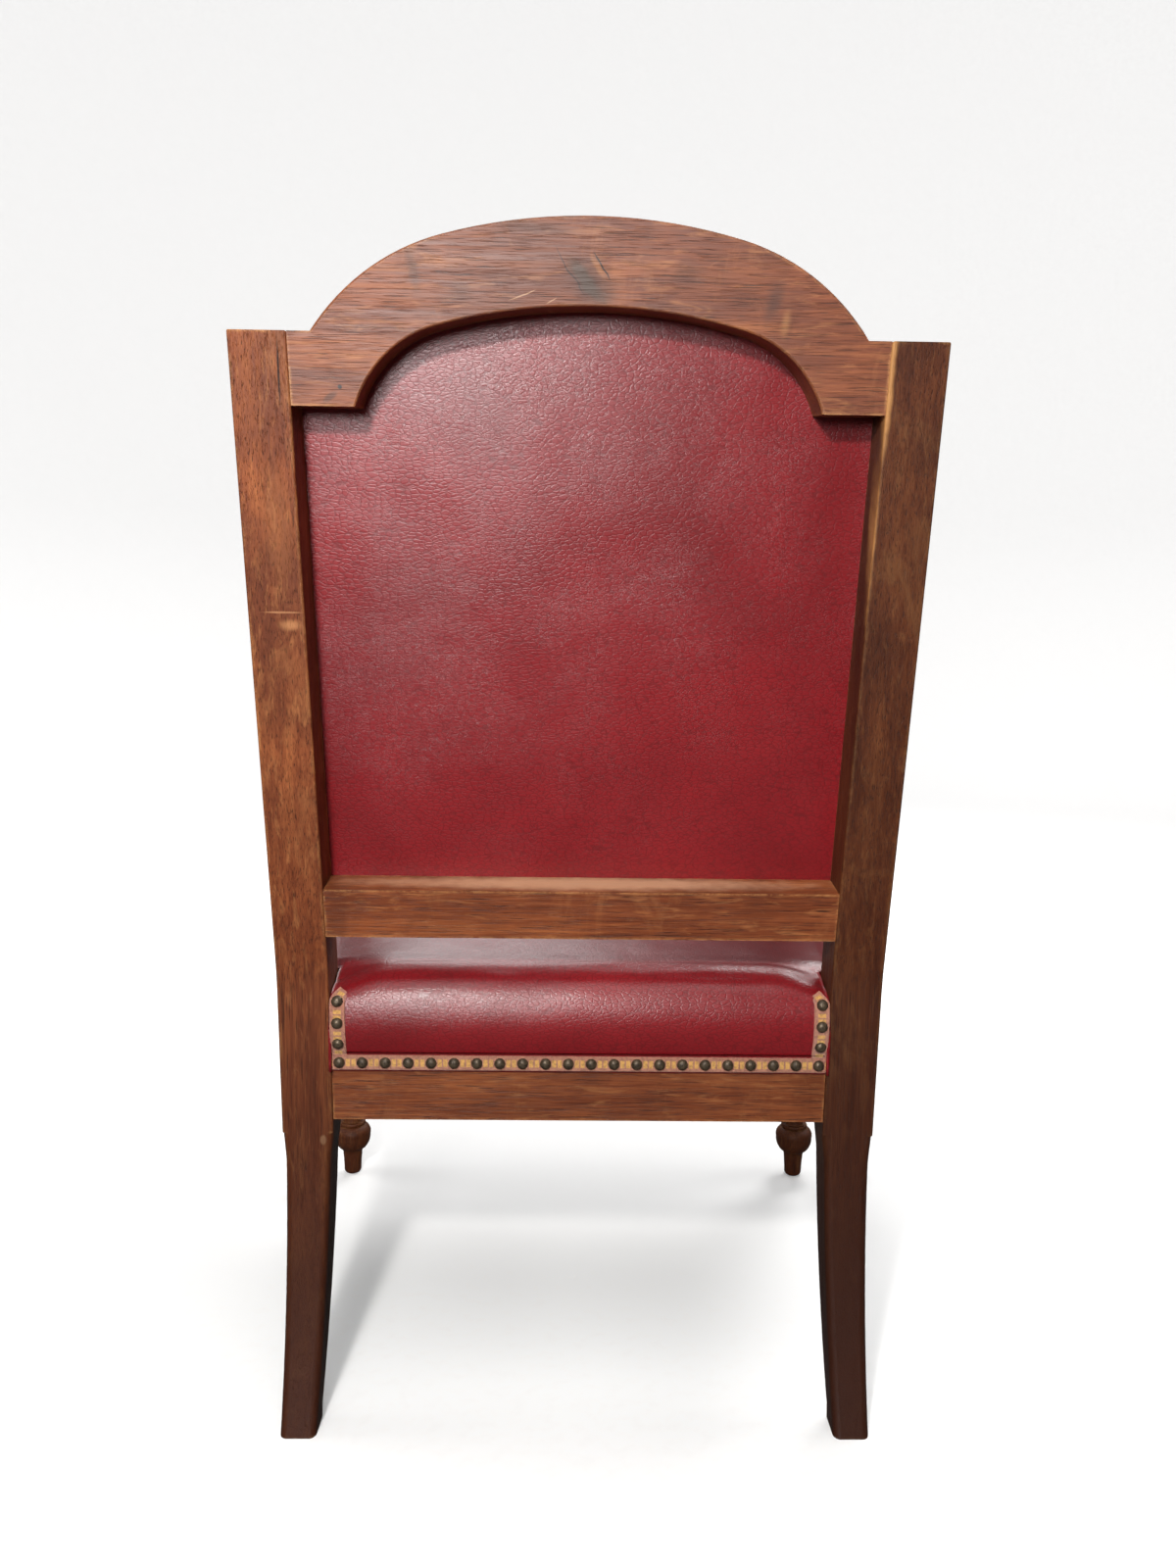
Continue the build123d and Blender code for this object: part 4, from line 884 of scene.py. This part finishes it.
gap_x = 2 * side_x(POST, -RAIL_INSIDE) / 3.4
gap_y = (DEPTH - 2 * (RAIL_INSIDE + SETBACK)) / 3.4
half_length = 257
level = 295.8
lines = []
for k in range(-2, 3):
    x = k * gap_x / 2
    ends = [(x, at(DEPTH / 2 + side * half_length), level) for side in (-1, 1)]
    lines.append((*ends, (1, 0, 0), (0, 0, 1)))
level = 294.4
for k in range(-2, 3):
    forward = DEPTH / 2 - k * gap_y / 2
    reach = side_x(forward, -10)
    ends = (-reach, at(forward), level), (reach, at(forward), level)
    lines.append((*ends, (0, 1, 0), (0, 0, 1)))
ride(strips("seat_webs", lines), jute.material, "seat_webbing")

# Canvas over the springs and black cloth under the seat

def field(name, near, far, inward, height, clear):
    """Sheet between the side rails, with room for the posts and the legs."""
    rows = int((far - near) / 12)
    columns = 44
    points = []
    for r in range(rows + 1):
        forward = near + (far - near) * r / rows
        half = side_x(forward, inward)
        if forward < POST + clear:
            half = min(half, inner_half(GROUND) - clear)
        if forward > DEPTH - POST - clear:
            half = min(half, FRONT_HALF - POST - clear)
        for c in range(columns + 1):
            x = half * (2 * c / columns - 1)
            y = at(forward)
            points.append((x, y, height(x, y)))
    return mesh(name, points, grid_faces(rows + 1, columns + 1))


def canvas_height(x, y):
    return GROUND + 0.6 + dome_height(x, y)


canvas = field("spring_hessian", 20, DEPTH - 20, -17, canvas_height, 3)
ride(canvas, hessian.material, "spring_canvas")


def sag(x, y):
    """Height of the slack cloth under the webbing."""
    half = DEPTH / 2
    middle = max(0.0, cos((REAR_Y - half - y) / half * pi / 2))
    return 292.9 - 0.5 * max(0.0, cos(x / 330 * pi / 2)) * middle


dust = field("dust_cloth", 12, DEPTH - 12, -9, sag, 9)
modifier(dust, "SOLIDIFY", thickness=0.0006, offset=0)
ride(dust, black.material, "bottom_cloth")

# Braid

def straight(name, start, end, outward, nail_half, node):
    """Level braid between two posts, in step with its nails."""
    start, end = Vector((*start, BRAID_MID)), Vector((*end, BRAID_MID))
    length = (end - start).length
    pitch = 2 * nail_half / round(2 * nail_half / NAIL_PITCH)
    steps = int(length / 1.4)
    shares = [i / steps for i in range(steps + 1)]
    middle = [start.lerp(end, share) for share in shares]
    units = [((share - 0.5) * length + nail_half) / pitch for share in shares]
    across, outward = [Vector((0, 0, 1))] * len(middle), [Vector(outward)] * len(middle)
    ride(band(name, middle, across, outward, units), gimp.material, node)


half = inner_half(BRAID_MID) - GAP
straight("braid_rear", (half, at(FACE)), (-half, at(FACE)), (0, 1, 0), half - BRAID / 2,
         "seat_braid_rear")
half = FRONT_HALF - POST - GAP
y = at(DEPTH - FACE)
straight("braid_front", (-half, y), (half, y), (0, -1, 0), half - NAIL_MARGIN, "seat_braid_front")
near, far = POST + GAP, DEPTH - POST - GAP
half_run = (far - near) / 2 / cos(SIDE_ANGLE) - NAIL_MARGIN / cos(SIDE_ANGLE)
for side, word in ((1, "left"), (-1, "right")):
    start, end = [(side * side_x(f, LEATHER), at(f)) for f in (near, far)[::-side]]
    outward = (side * cos(SIDE_ANGLE), sin(SIDE_ANGLE), 0)
    straight(f"braid_side_{word}", start, end, outward, half_run, f"seat_braid_{word}")

# Braid up the posts, over the pad's edge, as (inwards, up)
edge = [(0.3, -1.2), (-0.6, 3.0)] + [(d, z) for d, z in roll_points(82.0) if z > 8]
dense = []
for (d0, z0), (d1, z1) in zip(edge, edge[1:]):
    parts = max(1, int(hypot(d1 - d0, z1 - z0) / 1.5))
    dense += [(d0 + (d1 - d0) * k / parts, z0 + (z1 - z0) * k / parts) for k in range(parts)]
dense = [(d, z) for d, z in dense if z < RISER_TOP]
for side, word in ((1, "left"), (-1, "right")):
    middle, across, outward, units = [], [], [], []
    length = 0.0
    for i, (d, z) in enumerate(dense):
        d_next, z_next = dense[min(i + 1, len(dense) - 1)]
        d_last, z_last = dense[max(i - 1, 0)]
        way = Vector((0, -(d_next - d_last), z_next - z_last)).normalized()
        fold = max(0.0, (z - RISER_TURN) / (RISER_TOP - RISER_TURN))
        x = side * (inner_half(GROUND + z) - GAP - BRAID / 2 - 7 * fold**1.5)
        y = at(FACE + d)
        middle.append(Vector((x, y, GROUND + z - pad_droop(x, y, GROUND + z))))
        across.append(Vector((1 - 0.55 * fold**2, 0, side * 0.5 * fold)))
        outward.append(Vector((0, way.z, -way.y)))
        length += hypot(d - d_last, z - z_last) if i else 0.0
        units.append((length - RISER_FIRST) / RISER_PITCH)
    obj = band(f"braid_riser_{word}", middle, across, outward, units)
    ride(obj, gimp.material, f"seat_braid_riser_{word}")


def back_braid():
    """Closed braid round the inner pad's flange."""
    middle = outline(FLANGE_GROW)
    count = len(middle)
    runs = [hypot(b[0] - a[0], b[1] - a[1]) for a, b in zip(middle, middle[1:] + middle[:1])]
    pitch = sum(runs) / round(sum(runs) / NAIL_PITCH)
    loops = [outline(FLANGE_GROW + across * BRAID) for across, _ in BRAID_SECTION]
    points, uvs = [], []
    length = 0.0
    for i, run in enumerate(runs):
        parts = max(1, int(run / 2.0))
        for k in range(parts):
            share = k / parts
            for loop, (across, lift) in zip(loops, BRAID_SECTION):
                p, q = loop[i], loop[(i + 1) % count]
                x = p[0] + (q[0] - p[0]) * share
                s = p[1] + (q[1] - p[1]) * share
                points.append(on_back(x, s, FLANGE_LEVEL + BRAID_THICK * lift))
                uvs.append(((length + run * share) / pitch, across))
        length += run
    width = len(BRAID_SECTION)
    start = len(points) - width
    faces = grid_faces(len(points) // width, width)
    faces += [(start + k, start + k + 1, k + 1, k) for k in range(width - 1)]
    return mesh("braid_back", points, [tuple(reversed(face)) for face in faces], uvs)


ride(back_braid(), gimp.material, "back_braid")

# Floor and backdrop

SWEEP = 1500  # radius of the curve from the floor to the wall
FLAT = 4522
section = [(1 + 411 * i, 0) for i in range(12)]
for i in range(1, 13):
    turn = i * pi / 24
    section.append((FLAT + SWEEP * sin(turn), SWEEP * (1 - cos(turn))))
section.append((FLAT + SWEEP, 7500))
sides = 120
points = [
    (radius * cos(2 * pi * k / sides), radius * sin(2 * pi * k / sides), height)
    for radius, height in section for k in range(sides)
]
floor = mesh("floor", points, grid_faces(len(section), sides, closed=True))
n = Nodes("floor")
speckle = n.noise(n.place(), 60.0, 4.0, 0.5)
pale = n.ramp(speckle, (0.3, (0.86, 0.855, 0.85)), (0.7, (0.90, 0.895, 0.89)))
seen = n.put("LightPath").outputs["Is Camera Ray"]
n.set(Base_Color=n.mix(seen, (0.11, 0.109, 0.107), pale), Roughness=0.8)
place = n.vector("SUBTRACT", n.put("TexCoord").outputs["Object"], (0.1, 0.9, 0.0))
away = n.put("VectorMath", {0: place}, operation="LENGTH").outputs["Value"]
glow = n.span(away, 0.6, 4.0, 0.14, 0.78, smooth=True)
n.set(Emission_Color=pale, Emission_Strength=n.math("MULTIPLY", seen, glow))
n.shader.inputs["Specular IOR Level"].default_value = 0.1
floor.data.materials.append(n.material)

# Camera at the photograph's place

camera_data = bpy.data.cameras.new("camera")
camera_data.sensor_width = 36.0
camera_data.lens = 27.0
camera_data.clip_start = 0.05
camera = bpy.data.objects.new("camera", camera_data)
bpy.context.collection.objects.link(camera)
PITCH, ROLL, YAW = radians(7), 0.0136, 0.01776
EYE = (0.01535, REAR_Y / 1000 + 1.1075, 0.76695)


def ray(x, y):
    """Direction of a place in the picture, x to the right and y down, in the chair's frame."""
    x, y = cos(ROLL) * x + sin(ROLL) * y, -sin(ROLL) * x + cos(ROLL) * y
    right, ahead, up = x, cos(PITCH) - y * sin(PITCH), -sin(PITCH) - y * cos(PITCH)
    right, ahead = cos(YAW) * right + sin(YAW) * ahead, -sin(YAW) * right + cos(YAW) * ahead
    return Vector((-right, -ahead, up))


middle = ray(0, 0)
right = ray(1, 0) - middle
down = ray(0, 1) - middle
turn = Matrix((right, -down, -middle)).transposed().to_4x4()
camera.matrix_world = Matrix.Translation(EYE) @ turn
bpy.context.scene.camera = camera

# Light

def lamp(name, place, target, size, power, color=(1, 1, 1)):
    """Round lamp turned to a target."""
    data = bpy.data.lights.new(name, "AREA")
    data.shape = "DISK"
    data.size = size
    data.energy = power
    data.color = color
    obj = bpy.data.objects.new(name, data)
    obj.location = place
    obj.rotation_euler = (Vector(target) - Vector(place)).to_track_quat("-Z", "Y").to_euler()
    bpy.context.collection.objects.link(obj)


# The key is small and near, for the hard shadow under the crest rail and the sheen of the leather.
lamp("key", (0.34, 1.66, 1.41), (0, 0.25, 0.75), 0.13, 23, (1.0, 0.985, 0.96))
lamp("soft", (0.45, 2.90, 1.12), (0, 0.3, 1.0), 0.7, 36)
lamp("above", (0.1, 1.2, 2.6), (0, 0.2, 0.5), 1.6, 11)
lamp("front", (0.4, -2.4, 1.75), (0, 0, 0.5), 1.3, 13)
lamp("front_high", (-1.3, -2.0, 2.7), (0, 0, 0.6), 1.2, 48)
for side in (-1, 1):
    lamp("side", (side * 2.6, -0.5, 1.7), (0, 0, 0.6), 1.2, 15)

# Reflections see a dark room with a bright ceiling, the camera sees a pale wall.
world = bpy.data.worlds.new("world")
world.use_nodes = True
nodes, links = world.node_tree.nodes, world.node_tree.links
background = nodes["Background"]
path = nodes.new("ShaderNodeLightPath")
either = nodes.new("ShaderNodeMath")
either.operation = "MAXIMUM"
mixer = nodes.new("ShaderNodeMix")
links.new(path.outputs["Is Camera Ray"], either.inputs[0])
links.new(path.outputs["Is Transmission Ray"], either.inputs[1])
links.new(either.outputs[0], mixer.inputs[0])
sky = nodes.new("ShaderNodeTexCoord")
height = nodes.new("ShaderNodeSeparateXYZ")
ceiling = nodes.new("ShaderNodeMapRange")
ceiling.interpolation_type = "SMOOTHSTEP"
for socket, value in zip(ceiling.inputs[1:5], (0.3, 0.85, 0.05, 0.95)):
    socket.default_value = value
links.new(sky.outputs["Generated"], height.inputs[0])
links.new(height.outputs["Z"], ceiling.inputs["Value"])
links.new(ceiling.outputs[0], mixer.inputs[2])
mixer.inputs[3].default_value = 0.95
links.new(mixer.outputs[0], background.inputs["Strength"])
background.inputs["Color"].default_value = (1, 1, 1, 1)
bpy.context.scene.world = world
bpy.context.scene.view_settings.view_transform = "Standard"
